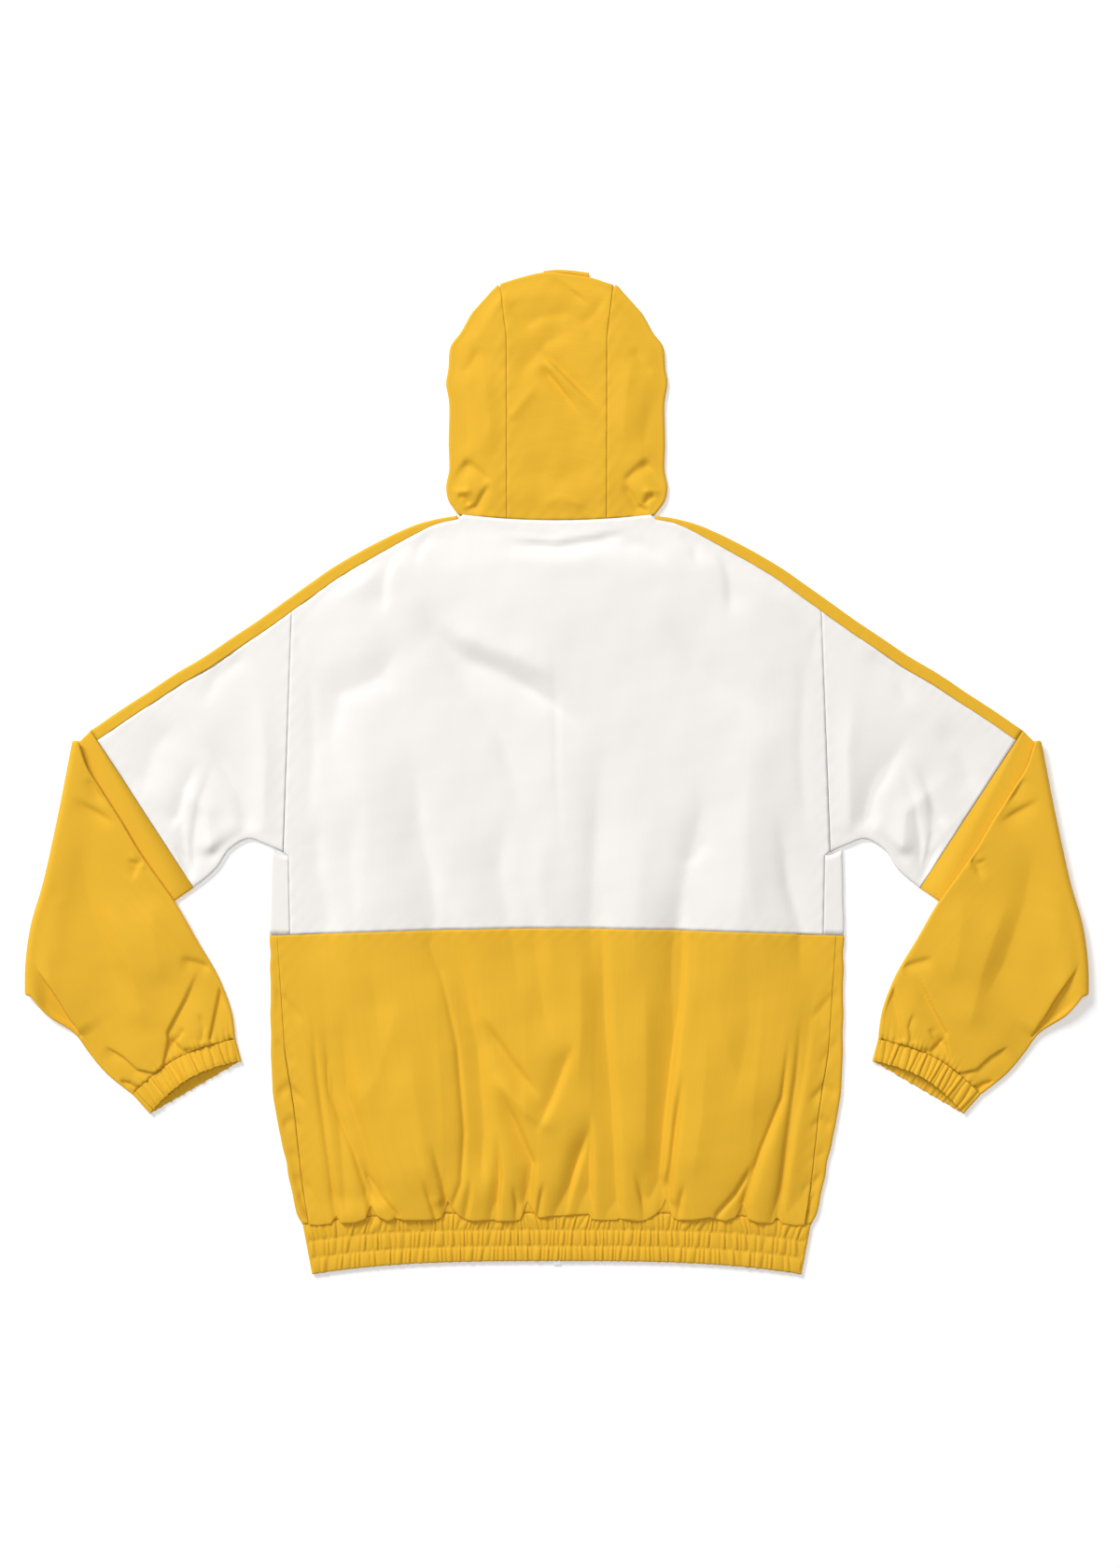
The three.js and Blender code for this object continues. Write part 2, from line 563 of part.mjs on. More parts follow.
// The forearm's under side: it lies on the upper arm, then comes down to the table past its edge.
function forearmFloor(x, y) {
  const past = (x - ELBOW.bottom[0]) * -ARM_DIRECTION[1] + (y - ELBOW.bottom[1]) * ARM_DIRECTION[0];
  const held = 1 - smoothstep(past, OVERLAP.near, OVERLAP.reach);
  const fromFold = -((x - ELBOW.top[0]) * elbowOut.x + (y - ELBOW.top[1]) * elbowOut.y);
  const settled = smoothstep(fromFold, BEND_HEIGHT, BEND_HEIGHT + OVERLAP.settle);
  return lerp(2 * BEND_HEIGHT - LAID, LAID + OVERLAP.rest, settled) * held;
}

// Rolls a flat point about the elbow's fold line by `angle`.
function rolled([x, y, z], angle) {
  const out = (BEND_HEIGHT - z) * Math.sin(angle);
  return [x + elbowOut.x * out, y + elbowOut.y * out, BEND_HEIGHT - (BEND_HEIGHT - z) * Math.cos(angle)];
}

const laidOver = ([x, y, z]) => [x, y, forearmFloor(x, y) + LAID - z];
const mirrored = (side) => ([x, y, z]) => [-side * x, y, z];

function sleeveLower(side) {
  const flat = () => ({ height: LAID, shift: 0 });
  const bare = () => ({ height: 0, shift: 0 });
  const still = new THREE.Vector2();
  const over = steps(6);
  const under = steps(9);
  const foldTop = inward(ELBOW.top);
  const foldBottom = inward(ELBOW.bottom);
  const towardsFold = steps(3).map((share) => {
    const a = between(COLOUR_SEAM_SLEEVE.upper, foldTop, share);
    const b = between(COLOUR_SEAM_SLEEVE.lower, foldBottom, share);
    return ringRow(a, b, flat, bare, over, under, still);
  });
  const foldRow = ringRow(foldTop, foldBottom, flat, bare, over, under, still);
  const bend = steps(ELBOW.steps)
    .slice(1)
    .map((share) => mapped(foldRow, (point) => rolled(point, Math.PI * share)));
  const innerPath = [foldTop, ...FOREARM_INNER.map(({ x, y }) => [x, y])];
  const outerPath = [foldBottom, ...FOREARM_OUTER.map(({ x, y }) => [x, y])];
  const forearm = [0.1, 0.22, 0.38, 0.55, 0.71, 0.86, 1].map((share) => {
    const a = onPath(innerPath, share);
    const b = onPath(outerPath, share);
    const way = towards(a, b).rotateAround(still, -Math.PI / 2);
    const seen = (across) => {
      const [x, y] = between(a, b, across);
      const middle = smoothstep(Math.min(across, 1 - across), 0, 0.16) * smoothstep(1 - share, 0, 0.12);
      const relief = creased(FOREARM_CREASES, -side * x, y) * middle;
      return { height: -Math.max(LEAST_LAID - LAID, relief), shift: CUFF.bow * bow(across) * share ** 4 };
    };
    const hidden = (across) => ({ height: LAID, shift: CUFF.hiddenBow * bow(across) * share ** 4 });
    return mapped(ringRow(a, b, hidden, seen, over, under, way), laidOver);
  });
  const rows = [...towardsFold, ...bend, ...forearm].map((row) => mapped(row, mirrored(side)));
  return clothWall(rows, { ring: true });
}

const bow = (across) => Math.sin(Math.PI * clamp(across, 0, 1));
const zigzag = (k) => (k % 2 ? 1 : -1);

function cuff(side) {
  const seamInner = [FOREARM_INNER[FOREARM_INNER.length - 1].x, FOREARM_INNER[FOREARM_INNER.length - 1].y];
  const seamOuter = [FOREARM_OUTER[FOREARM_OUTER.length - 1].x, FOREARM_OUTER[FOREARM_OUTER.length - 1].y];
  const shares = steps(2 * CUFF_PLEATS);
  const rows = steps(2).map((share) => {
    const away = towards(seamInner, CUFF.inner).multiplyScalar(SEAM_GAP);
    const a = between([seamInner[0] + away.x, seamInner[1] + away.y], CUFF.inner, share);
    const b = between([seamOuter[0] + away.x, seamOuter[1] + away.y], CUFF.outer, share);
    const way = towards(a, b).rotateAround(new THREE.Vector2(), -Math.PI / 2);
    const firm = 1 - PINCH * (1 - Math.sin((Math.PI * share * 2) / 3));
    const seen = (across, k) => ({
      height: -zigzag(k) * PLEAT.cuff * firm - CUFF.open * share * bow(across),
      shift: CUFF.bow * bow(across),
    });
    const hidden = (across, k) => ({
      height: LAID - PLEAT.cuff + zigzag(k) * PLEAT.cuff * 0.5,
      shift: CUFF.hiddenBow * (1 - share) * bow(across),
    });
    return mapped(ringRow(a, b, hidden, seen, shares, shares, way), laidOver);
  });
  return clothWall(
    rows.map((row) => mapped(row, mirrored(side))),
    { ring: true },
  );
}

function hemBand() {
  const rows = STITCH_ROWS.map((share) => {
    const half = lerp(HEM_HALF.top, HEM_HALF.bottom, share);
    const firm = share === 0 || share === 1 ? 1 : PINCH;
    const yAt = (x) => lerp(bandTopY(x) - SEAM_GAP / 2, bandBottomY(x), share);
    const left = foldedRow({
      start: [0, 0],
      edge: [-half, 0],
      end: [-ZIP_EDGE, 0],
      over: steps(1),
      under: UNDER_SHARES,
    }).slice(1);
    const right = mapped(left, ([x, y, z]) => [-x, y, z]);
    const flat = half - FOLD;
    const pleats = steps(2 * HEM_PLEATS)
      .slice(1, -1)
      .map((across, k) => upperPair(lerp(-flat, flat, across), 0, LAID + zigzag(k) * PLEAT.hem * firm));
    const row = [...left.reverse(), ...pleats, ...right];
    return mapped(row, levelled(yAt));
  });
  return clothWall(rows);
}

// The centre panel of the hood: up from the neck seam, over the crown and down under it.
function hoodCentre() {
  const over = [0, 0.08, 0.17, 0.27, 0.37, 0.47, 0.57, 0.68, 0.78, 0.86, 0.94, 1];
  const columns = [-1, -0.6, -0.2, 0.2, 0.6, 1].map((across) => {
    const seamAt = (y) => across * (read(HOOD_SEAM, "y", y, "half") - SEAM_GAP);
    const crownX = across * (CROWN.half - SEAM_GAP);
    const crownY = read(CROWN_EDGE, "x", across * CROWN.half, "y");
    const neck = [seamAt(NECK.y), neckY(seamAt(NECK.y)) + SEAM_GAP];
    const row = foldedRow({
      start: [crownX, neck[1]],
      edge: [crownX, crownY],
      end: [crownX, CROWN.underY],
      over,
      under: steps(2),
    });
    const sided = ([x, y, z], k) => {
      const onTop = k < over.length - 1;
      const place = onTop ? seamAt(y) : x;
      const ends = smoothstep(y, neck[1], neck[1] + SEAM_SETTLE) * smoothstep(crownY - y, FOLD, SETTLE);
      const relief = onTop ? creased(HOOD_CREASES, place, y) * ends * seamFade(across) : 0;
      return [place, y, z + relief];
    };
    return row.map((pair, k) => ({ out: sided(pair.out, k), in: sided(pair.in, k) }));
  });
  return clothWall(columns);
}

const seamFade = (across) => smoothstep(1 - Math.abs(across), 0, 0.5);

function hoodSide(side) {
  const relief = (x, y) =>
    creased(HOOD_CREASES, x, y) *
    smoothstep(Math.abs(x) - read(HOOD_SEAM, "y", y, "half"), 0, SEAM_SETTLE);
  const rows = HOOD_SIDE.map(({ sy, ox, oy, gx, gy }, k) =>
    foldedRow({
      start: [side * read(HOOD_SEAM, "y", sy, "half"), sy],
      edge: [side * ox, oy],
      end: [side * gx, gy],
      over: steps(4),
      under: steps(3),
      relief,
      lift: (x, y) => ZIP_LIFT.front * liftShare(x, y),
      sag: Math.max(0, NECK.dip - 3 * k),
    }),
  );
  return clothWall(rows);
}

// The stitched edge strip of the hood, of which one end peeps out over the crown.
function hoodHem() {
  return clothWall(HOOD_HEM.map(({ x, low, top }) => [upperPair(x, top, WALL), upperPair(x, low, WALL)]));
}

const wasm = await Module();
wasm.setup();

function solidOf(geometry) {
  const spots = geometry.getAttribute("position");
  const faces = geometry.getIndex();
  return new wasm.Manifold(
    new wasm.Mesh({
      numProp: 3,
      vertProperties: new Float32Array(spots.array),
      triVerts: new Uint32Array(faces.array),
    }),
  );
}

// A block between two opposite corners, with its shared corners merged.
function block(low, high) {
  const corners = [0, 1, 2, 3, 4, 5, 6, 7].flatMap((k) => [
    k & 1 ? high[0] : low[0],
    k & 2 ? high[1] : low[1],
    k & 4 ? high[2] : low[2],
  ]);
  const sides = [0, 2, 3, 1, 4, 5, 7, 6, 0, 1, 5, 4, 2, 6, 7, 3, 0, 4, 6, 2, 1, 3, 7, 5];
  const faces = [];
  for (let k = 0; k < sides.length; k += 4)
    faces.push(sides[k], sides[k + 1], sides[k + 2], sides[k], sides[k + 2], sides[k + 3]);
  return facingOut(corners, faces);
}

// A three.js geometry with only its positions, shared between the faces that meet.
function welded(geometry) {
  const bare = new THREE.BufferGeometry();
  bare.setAttribute("position", geometry.getAttribute("position"));
  bare.setIndex(geometry.getIndex());
  return mergeVertices(bare, 1e-4);
}

function joined(...geometries) {
  const made = geometries.map(solidOf).reduce((sum, solid) => sum.add(solid));
  const mesh = made.getMesh();
  const geometry = new THREE.BufferGeometry();
  geometry.setAttribute("position", new THREE.Float32BufferAttribute(mesh.vertProperties, 3));
  geometry.setIndex(new THREE.Uint32BufferAttribute(mesh.triVerts, 1));
  return geometry;
}

// The zip's tapes and closed teeth, as one long run of a cross-shaped section.
function zipChain() {
  const { tape, teeth } = ZIP;
  const section = [
    [-tape.half, tape.low],
    [-teeth.half, tape.low],
    [-teeth.half, teeth.low],
    [teeth.half, teeth.low],
    [teeth.half, tape.low],
    [tape.half, tape.low],
    [tape.half, tape.high],
    [teeth.half, tape.high],
    [teeth.half, teeth.high],
    [-teeth.half, teeth.high],
    [-teeth.half, tape.high],
    [-tape.half, tape.high],
  ];
  const outline = new THREE.Shape(section.map(([x, z]) => new THREE.Vector2(x, z)));
  const caps = THREE.ShapeUtils.triangulateShape(outline.getPoints(), []);
  const stations = [ZIP.bottom, ZIP_LIFT.from, ZIP_LIFT.full, ZIP.top];
  const count = section.length;
  const spots = stations.flatMap((y) =>
    section.flatMap(([x, z]) => [x, y, z + ZIP_LIFT.front * liftShare(0, y)]),
  );
  const faces = [];
  for (let i = 0; i < stations.length - 1; i++)
    for (let j = 0; j < count; j++) {
      const next = (j + 1) % count;
      const [a, b, c, d] = [i * count + j, i * count + next, (i + 1) * count + next, (i + 1) * count + j];
      faces.push(a, b, c, a, c, d);
    }
  const last = (stations.length - 1) * count;
  for (const [a, b, c] of caps) faces.push(c, b, a, last + a, last + b, last + c);
  return facingOut(spots, faces);
}

// The slider: two plates joined by a post at the closed end, and the bridge that carries the pull.
function zipSlider() {
  const { half, long, plate, low, high, post, y } = SLIDER;
  const ends = [y - long / 2, y + long / 2];
  const lowPlate = block([-half, ends[0], low], [half, ends[1], low + plate]);
  const highPlate = block([-half, ends[0], high], [half, ends[1], high + plate]);
  const wedge = block([-post, ZIP.top + SEAM_GAP, low], [post, ends[1], high + plate]);
  const legs = [BRIDGE.from, BRIDGE.to - BRIDGE.leg].map((at) =>
    block([-BRIDGE.half, at, BRIDGE.low], [BRIDGE.half, at + BRIDGE.leg, low + plate / 2]),
  );
  const barTop = BRIDGE.low + BRIDGE.bar;
  const bar = block([-BRIDGE.half, BRIDGE.from, BRIDGE.low], [BRIDGE.half, BRIDGE.to, barTop]);
  return joined(lowPlate, highPlate, wedge, ...legs, bar);
}

// The pull tab: a flat tongue, forked round the bridge, with a round crossbar through it.
function zipPull() {
  const { pivotY, pivotZ, long, half, thick, slot, eye } = PULL;
  const tongue = new THREE.Shape();
  const neck = pivotY - eye;
  const tip = pivotY - long;
  tongue.moveTo(-half, neck);
  tongue.lineTo(-half, tip + half);
  tongue.absarc(0, tip + half, half, Math.PI, 2 * Math.PI, false);
  tongue.lineTo(half, neck);
  const flat = new THREE.ExtrudeGeometry(tongue, { depth: thick, bevelEnabled: false, curveSegments: 8 });
  flat.translate(0, 0, pivotZ - thick / 2);
  const cheeks = [-1, 1].map((way) => {
    const edges = [way * slot, way * half].sort((a, b) => a - b);
    const low = [edges[0], neck - thick, pivotZ - thick / 2];
    return block(low, [edges[1], pivotY + thick / 2, pivotZ + thick / 2]);
  });
  const wide = slot + half; // the crossbar ends inside the cheeks
  const bar = new THREE.CylinderGeometry(thick / 2, thick / 2, wide, 12).rotateZ(Math.PI / 2);
  bar.translate(0, pivotY, pivotZ);
  return joined(welded(flat), ...cheeks, welded(bar));
}

// The box that holds the zip's lower end.
function zipBox() {
  const { half, long, thick } = ZIP_BOX;
  const top = ZIP.bottom - SEAM_GAP;
  return block([-half, top - long, 0], [half, top, thick]);
}

add("back_upper", backUpper(), WHITE);
add("back_lower", backLower(), YELLOW);
add("hem_band", hemBand(), YELLOW);
add("hood_center", hoodCentre(), YELLOW);
add("hood_hem", hoodHem(), YELLOW);
add("zip_chain", zipChain(), TAPE);
add("zip_slider", zipSlider(), METAL);
add("zip_pull", zipPull(), METAL);
add("zip_box", zipBox(), METAL);
for (const [side, name] of [
  [-1, "left"],
  [1, "right"],
]) {
  add(`front_upper_${name}`, frontUpper(side), WHITE);
  add(`front_lower_${name}`, frontLower(side), YELLOW);
  add(`shoulder_stripe_${name}`, shoulderStripe(side), YELLOW);
  add(`sleeve_upper_${name}`, sleeveUpper(side), WHITE);
  add(`sleeve_lower_${name}`, sleeveLower(side), YELLOW);
  add(`cuff_${name}`, cuff(side), YELLOW);
  add(`hood_side_${name}`, hoodSide(side), YELLOW);
}

export default jacket;
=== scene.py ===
# %% [markdown]
# # A windbreaker laid out on its front
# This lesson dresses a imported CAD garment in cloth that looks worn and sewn. The real thing is a
# light hooded jacket of thin woven polyester, laid face down on a white table with both sleeves
# folded over at the elbow. The CAD model gives the place and the cut of every panel, and each
# panel here is a finer, thinner shell in the same place, with its creases, gathers and seams.

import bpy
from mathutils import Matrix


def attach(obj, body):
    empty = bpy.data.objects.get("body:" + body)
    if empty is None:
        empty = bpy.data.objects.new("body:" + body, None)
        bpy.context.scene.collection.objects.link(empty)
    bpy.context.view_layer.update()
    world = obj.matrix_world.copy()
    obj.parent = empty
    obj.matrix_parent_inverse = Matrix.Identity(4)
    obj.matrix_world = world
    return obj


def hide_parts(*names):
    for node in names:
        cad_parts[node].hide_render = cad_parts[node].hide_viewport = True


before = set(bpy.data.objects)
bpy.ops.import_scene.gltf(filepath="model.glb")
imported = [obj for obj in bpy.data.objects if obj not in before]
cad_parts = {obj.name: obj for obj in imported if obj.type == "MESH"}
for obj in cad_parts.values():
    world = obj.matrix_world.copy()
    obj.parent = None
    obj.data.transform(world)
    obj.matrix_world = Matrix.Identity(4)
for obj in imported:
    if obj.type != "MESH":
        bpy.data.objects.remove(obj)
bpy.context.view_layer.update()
print("the frame holds", len(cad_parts), "pieces")

# %% [markdown]
# ## Sizes
# Everything is written in millimetres, as on a cutting table, and turned to metres only when a
# mesh is made. The tables repeat the cut of the garment: where its folds and seams run. Each has
# named columns, so that a row reads like a line of a size chart. The ones that several panels
# share come first, and each of the others stands beside its panel.

# %% The other tools, and the sizes that everything shares
import math
from collections import namedtuple

import bmesh
import bpy
import numpy as np

MM = 0.001
LAID = 5.0  # height of two layers of cloth and the air between them
FOLD = LAID / 2  # radius of a side fold
CLOTH = 0.5  # thickness of a shell
SEAM_GAP = 0.03  # the solids keep 0.3 mm, and cloth at a seam all but touches
SETTLE = 24.0  # creases come in over this distance from a fold
BODY = "garment"


def table(names, *rows):
    """A short table, as one array for each named column."""
    return {name: np.array(column, float) for name, column in zip(names.split(), zip(*rows))}


SIDE_FOLD = table(
    "y half",
    (-447, 250.7), (-440, 254.5), (-412, 261.3), (-371, 269.6), (-330, 277.8),
    (-290, 281.5), (-200, 282.5), (-150, 283.5), (-80, 281.5),
)
LOWER_SIDE_SEAM = table(
    "y half", (-447, 244.5), (-410, 250.7), (-332, 259), (-276, 268), (-163, 275.5)
)
UPPER_SIDE_SEAM = table("y half", (-163, 263), (-82.2, 264.5), (-79, 269.5), (157.8, 261.4))
SIDES = (("left", -1), ("right", 1))
HEM = {"y": -482.3, "drop": 13.2, "top": 250.7, "bottom": 241.5}
BAND_TOP = {"y": -435.0, "drop": 11.5}
COLOUR_SEAM = {"y": -154.0, "drop": 7.4, "half": 283.0}
NECK = {"y": 248.0, "rise": 6.0, "half": 95.0, "dip": 9.0}
print("cut at scale:", round(2 * SIDE_FOLD["half"].max()), "mm across the body")

# %% [markdown]
# ## Ways to read a table
# Straight lengths are right where two panels share a seam, and a flowing curve is right along an
# outline that the eye follows. The flowing reader is a cubic curve through the table's points,
# with its slopes taken from their neighbours, so it needs no more points than the shape does.

# %% Reading and easing
def mix(a, b, share):
    return a + (b - a) * share


def ease(value, low, high):
    """0 below low, 1 above high, and a soft S between them."""
    share = np.clip((np.asarray(value, float) - low) / (high - low), 0, 1)
    return share * share * (3 - 2 * share)


def read(rows, key, at, column):
    return np.interp(at, rows[key], rows[column])


def flowing(at, keys, values):
    """A cubic curve through the points of a table."""
    slopes = np.gradient(values, keys)
    k = np.clip(np.searchsorted(keys, at) - 1, 0, len(keys) - 2)
    wide = keys[k + 1] - keys[k]
    t = np.clip((at - keys[k]) / wide, 0, 1)
    start = values[k] * (1 + 2 * t) * (1 - t) ** 2 + slopes[k] * wide * t * (1 - t) ** 2
    return start + values[k + 1] * t * t * (3 - 2 * t) + slopes[k + 1] * wide * t * t * (t - 1)


def on_path(points, shares, soft=True):
    """Places on a path of points, by the share of its length."""
    points = np.asarray(points, float)
    lengths = np.hypot(*np.diff(points, axis=0).T)
    reached = np.concatenate([[0], np.cumsum(lengths)])
    at = np.asarray(shares) * reached[-1]
    reader = flowing if soft else np.interp
    return np.stack([reader(at, reached, points[:, k]) for k in (0, 1)], axis=-1)


def unit(vectors):
    return vectors / np.maximum(np.linalg.norm(vectors, axis=-1, keepdims=True), 1e-9)


def quarter_turn(way):
    """A flat direction turned a quarter to the right."""
    return np.stack([way[..., 1], -way[..., 0]], axis=-1)


def colour_seam_y(x):
    return COLOUR_SEAM["y"] - COLOUR_SEAM["drop"] * (np.abs(x) / COLOUR_SEAM["half"]) ** 1.5


def band_top_y(x):
    return BAND_TOP["y"] - BAND_TOP["drop"] * (np.abs(x) / HEM["top"]) ** 4


def band_bottom_y(x):
    return HEM["y"] - HEM["drop"] * (np.abs(x) / HEM["bottom"]) ** 3


def neck_y(x):
    return NECK["y"] + NECK["rise"] * (x / NECK["half"]) ** 2


# %% [markdown]
# ## Creases
# A crease in light cloth is a line with a blunt middle that spreads further on one side than on
# the other: one flank is steep and catches no light, and the other is long and bright. Each row
# of a crease table is one such line, with its spread to its left and right, its rise (below zero
# for a trough) and how much of its length it takes to come in and to fade. Blender could find
# folds with a cloth simulation, but only when they are given one by one do they lie where the
# garment has them.

# %% Creases and waves
Crease = namedtuple("Crease", "line left right rise start end", defaults=(0.3, 0.3))
BLUNT = 0.55  # radius of a crease's middle, in mm


def nearest(line, x, y):
    """Distance to a line, which side of it a point is on, and the share of its length there."""
    points = np.array(line, float)
    lengths = np.hypot(*np.diff(points, axis=0).T)
    best = np.full(x.shape, np.inf)
    side = np.zeros(x.shape)
    share = np.zeros(x.shape)
    done = 0.0
    for start, finish, length in zip(points, points[1:], lengths):
        way = (finish - start) / length
        ahead = np.clip((x - start[0]) * way[0] + (y - start[1]) * way[1], 0, length)
        dx = x - start[0] - ahead * way[0]
        dy = y - start[1] - ahead * way[1]
        distance = np.hypot(dx, dy)
        closer = distance < best
        best = np.where(closer, distance, best)
        side = np.where(closer, way[0] * dy - way[1] * dx, side)
        share = np.where(closer, (done + ahead) / lengths.sum(), share)
        done += length
    return best, side, share


def creased(creases, x, y):
    """The height that a table of creases adds at each place."""
    height = np.zeros(x.shape)
    for crease in creases:
        distance, side, share = nearest(crease.line, x, y)
        reach = np.where(side > 0, crease.left, crease.right)
        steep = np.exp(-(np.hypot(distance, BLUNT) - BLUNT) / reach)
        shape = mix(np.exp(-((distance / reach) ** 2)), steep, 0.55)
        come = ease(share, 0, crease.start) if crease.start else 1.0
        go = ease(1 - share, 0, crease.end) if crease.end else 1.0
        height += crease.rise * shape * come * go
    return height


def mirrored(crease):
    line = tuple((-x, y) for x, y in crease.line)
    return crease._replace(line=line, left=crease.right, right=crease.left)


def on_both_sides(creases):
    return [*creases, *(mirrored(crease) for crease in creases)]


WAVES = table(
    "angle length rise phase",
    (8, 61, 0.10, 0.4), (77, 83, 0.12, 2.1), (41, 37, 0.05, 4.4), (128, 53, 0.08, 1.3),
    (161, 29, 0.035, 5.2), (101, 22, 0.025, 3.3), (19, 131, 0.16, 0.9),
)


print(len(WAVES["angle"]), "long waves make the slight unevenness")


def waves(x, y):
    """The slight unevenness that cloth keeps after it has been packed and pressed."""
    height = np.zeros(x.shape)
    for angle, length, rise, phase in zip(*WAVES.values()):
        turned = x * math.cos(math.radians(angle)) + y * math.sin(math.radians(angle))
        height += rise * np.sin(2 * math.pi * turned / length + phase)
    return height


# %% [markdown]
# ## Sections
# A laid garment is a set of flattened tubes. One section of a panel that folds round the side
# runs over the top, round a small half circle and back underneath. A sleeve's section goes all
# the way round. These two functions make a whole grid of such sections at once, with numpy, and
# they remember which layer a point is in and how far it is from the fold.

# %% Folded and round sections
Grid = namedtuple("Grid", "points layer away")
TURN = 8  # steps round a fold
LEAST = 2.4  # an upper layer never comes closer than this to the table
print("a fold takes", round(math.pi * FOLD, 1), "mm of cloth")


def turning(edge, upper_way, lower_way):
    """Points round a fold at `edge`, from the upper layer to the lower one."""
    share = np.linspace(0, 1, TURN + 1)
    angle = math.pi * (0.5 - share)
    way = unit(mix(upper_way[:, None], lower_way[:, None], share[None, :, None]))
    flat = edge[:, None] - way * (FOLD * (1 - np.cos(angle)))[None, :, None]
    height = np.broadcast_to(FOLD + FOLD * np.sin(angle), flat.shape[:2])
    return np.concatenate([flat, height[..., None]], axis=-1)


def layer_between(first, last, shares, height):
    flat = mix(first[:, None, :2], last[:, None, :2], shares[None, :, None])
    return np.concatenate([flat, np.full(flat.shape[:2] + (1,), float(height))], axis=-1)


def folded(start, edge, end, over, under):
    """Rows over the top from `start`, round the fold at `edge`, and back under to `end`."""
    turn = turning(edge, unit(edge - start), unit(edge - end))
    upper = layer_between(start, turn[:, 0], over[:-1], LAID)
    lower = layer_between(turn[:, -1], end, under[1:], 0)
    points = np.concatenate([upper, turn, lower], axis=1)
    marks = [1] * upper.shape[1] + [0] * (TURN + 1) + [-1] * lower.shape[1]
    layer = np.broadcast_to(np.array(marks), points.shape[:2])
    away = np.linalg.norm(points[..., :2] - edge[:, None], axis=-1)
    return Grid(points, layer, away)


def around(a, b, over, under):
    """Rows all round a flat tube, from fold `a` over to fold `b` and back under."""
    way = unit(b - a)
    turn_b = turning(b, way, way)
    turn_a = turning(a, -way, -way)[:, ::-1]
    upper = layer_between(turn_a[:, -1], turn_b[:, 0], over[1:-1], LAID)
    lower = layer_between(turn_b[:, -1], turn_a[:, 0], under[1:-1], 0)
    points = np.concatenate([upper, turn_b, lower, turn_a], axis=1)
    turned = [0] * (TURN + 1)
    marks = [1] * upper.shape[1] + turned + [-1] * lower.shape[1] + turned
    layer = np.broadcast_to(np.array(marks), points.shape[:2])
    to_a = np.linalg.norm(points[..., :2] - a[:, None], axis=-1)
    to_b = np.linalg.norm(points[..., :2] - b[:, None], axis=-1)
    return Grid(points, layer, np.minimum(to_a, to_b))


def raised(grid, relief, under=None, settle=SETTLE):
    """The grid with its upper layer raised by one height function, and its lower one by another."""
    points = grid.points.copy()
    x, y = points[..., 0], points[..., 1]
    settled = ease(grid.away, FOLD, settle)
    top = np.maximum(relief(x, y) * settled, LEAST - LAID)
    low = np.maximum(under(x, y) * settled, 0) if under else 0
    points[..., 2] += np.where(grid.layer > 0, top, np.where(grid.layer < 0, low, 0))
    return grid._replace(points=points)


# %% [markdown]
# ## From a grid to cloth
# A shell is made by hand: the grid is the outer face, the same grid moved in by the cloth's
# thickness is the inner face, and rims close the edges. Blender's Solidify modifier could do it,
# but at the tight pleats it makes spikes. The grid also knows how far along the cloth each point
# lies, and that is stored as an attribute for the weave to follow.

# %% Normals and distances on a grid
def grid_normals(points, ring=False):
    """Unit normals of a grid, pointing away from the garment's middle height."""
    if ring:
        around_way = np.roll(points, -1, axis=1) - np.roll(points, 1, axis=1)
    else:
        around_way = np.gradient(points, axis=1)
    normals = unit(np.cross(around_way, np.gradient(points, axis=0)))
    outward = np.sum(normals[..., 2] * (points[..., 2] - FOLD))
    return normals if outward > 0 else -normals


def run_lengths(points, axis):
    steps = np.linalg.norm(np.diff(points, axis=axis), axis=-1)
    start = np.zeros_like(np.take(steps, [0], axis=axis))
    return np.concatenate([start, np.cumsum(steps, axis=axis)], axis=axis)


def edge_distance(points, edges):
    """Distance over the cloth from the named edges of a grid."""
    across = run_lengths(points, 1)
    along = run_lengths(points, 0)
    found = {
        "first": across,
        "last": across[:, -1:] - across,
        "low": along,
        "high": along[-1:] - along,
    }
    return np.minimum.reduce([found[edge] for edge in edges])


# %% Seams
SEAM = {"deep": 0.04, "half": 0.8, "pucker": 0.32, "reach": 9.0}


EVERY_EDGE = ["first", "last", "low", "high"]


def ripple(x, y):
    """Small uneven gathers, the same all over the garment."""
    woven = np.sin(x / 2.3 + 1.3 * np.sin(y / 17)) * np.sin(y / 2.9 + 1.1 * np.sin(x / 23))
    return woven + 0.6 * np.sin((x + y) / 5.7)


def sewn(points, edges, ring=False, pucker=1.0, deep=SEAM["deep"]):
    """Turns the cloth in along its seams and gathers it a little beside them."""
    distance = edge_distance(points, edges)
    dip = deep * np.exp(-((distance / SEAM["half"]) ** 1.5))
    gathers = ripple(points[..., 0], points[..., 1])
    rise = pucker * SEAM["pucker"] * gathers * np.exp(-distance / SEAM["reach"])
    shift = (rise - dip)[..., None] * grid_normals(points, ring)
    moved = points + shift
    moved[..., 2] = np.maximum(moved[..., 2], 0)
    return moved


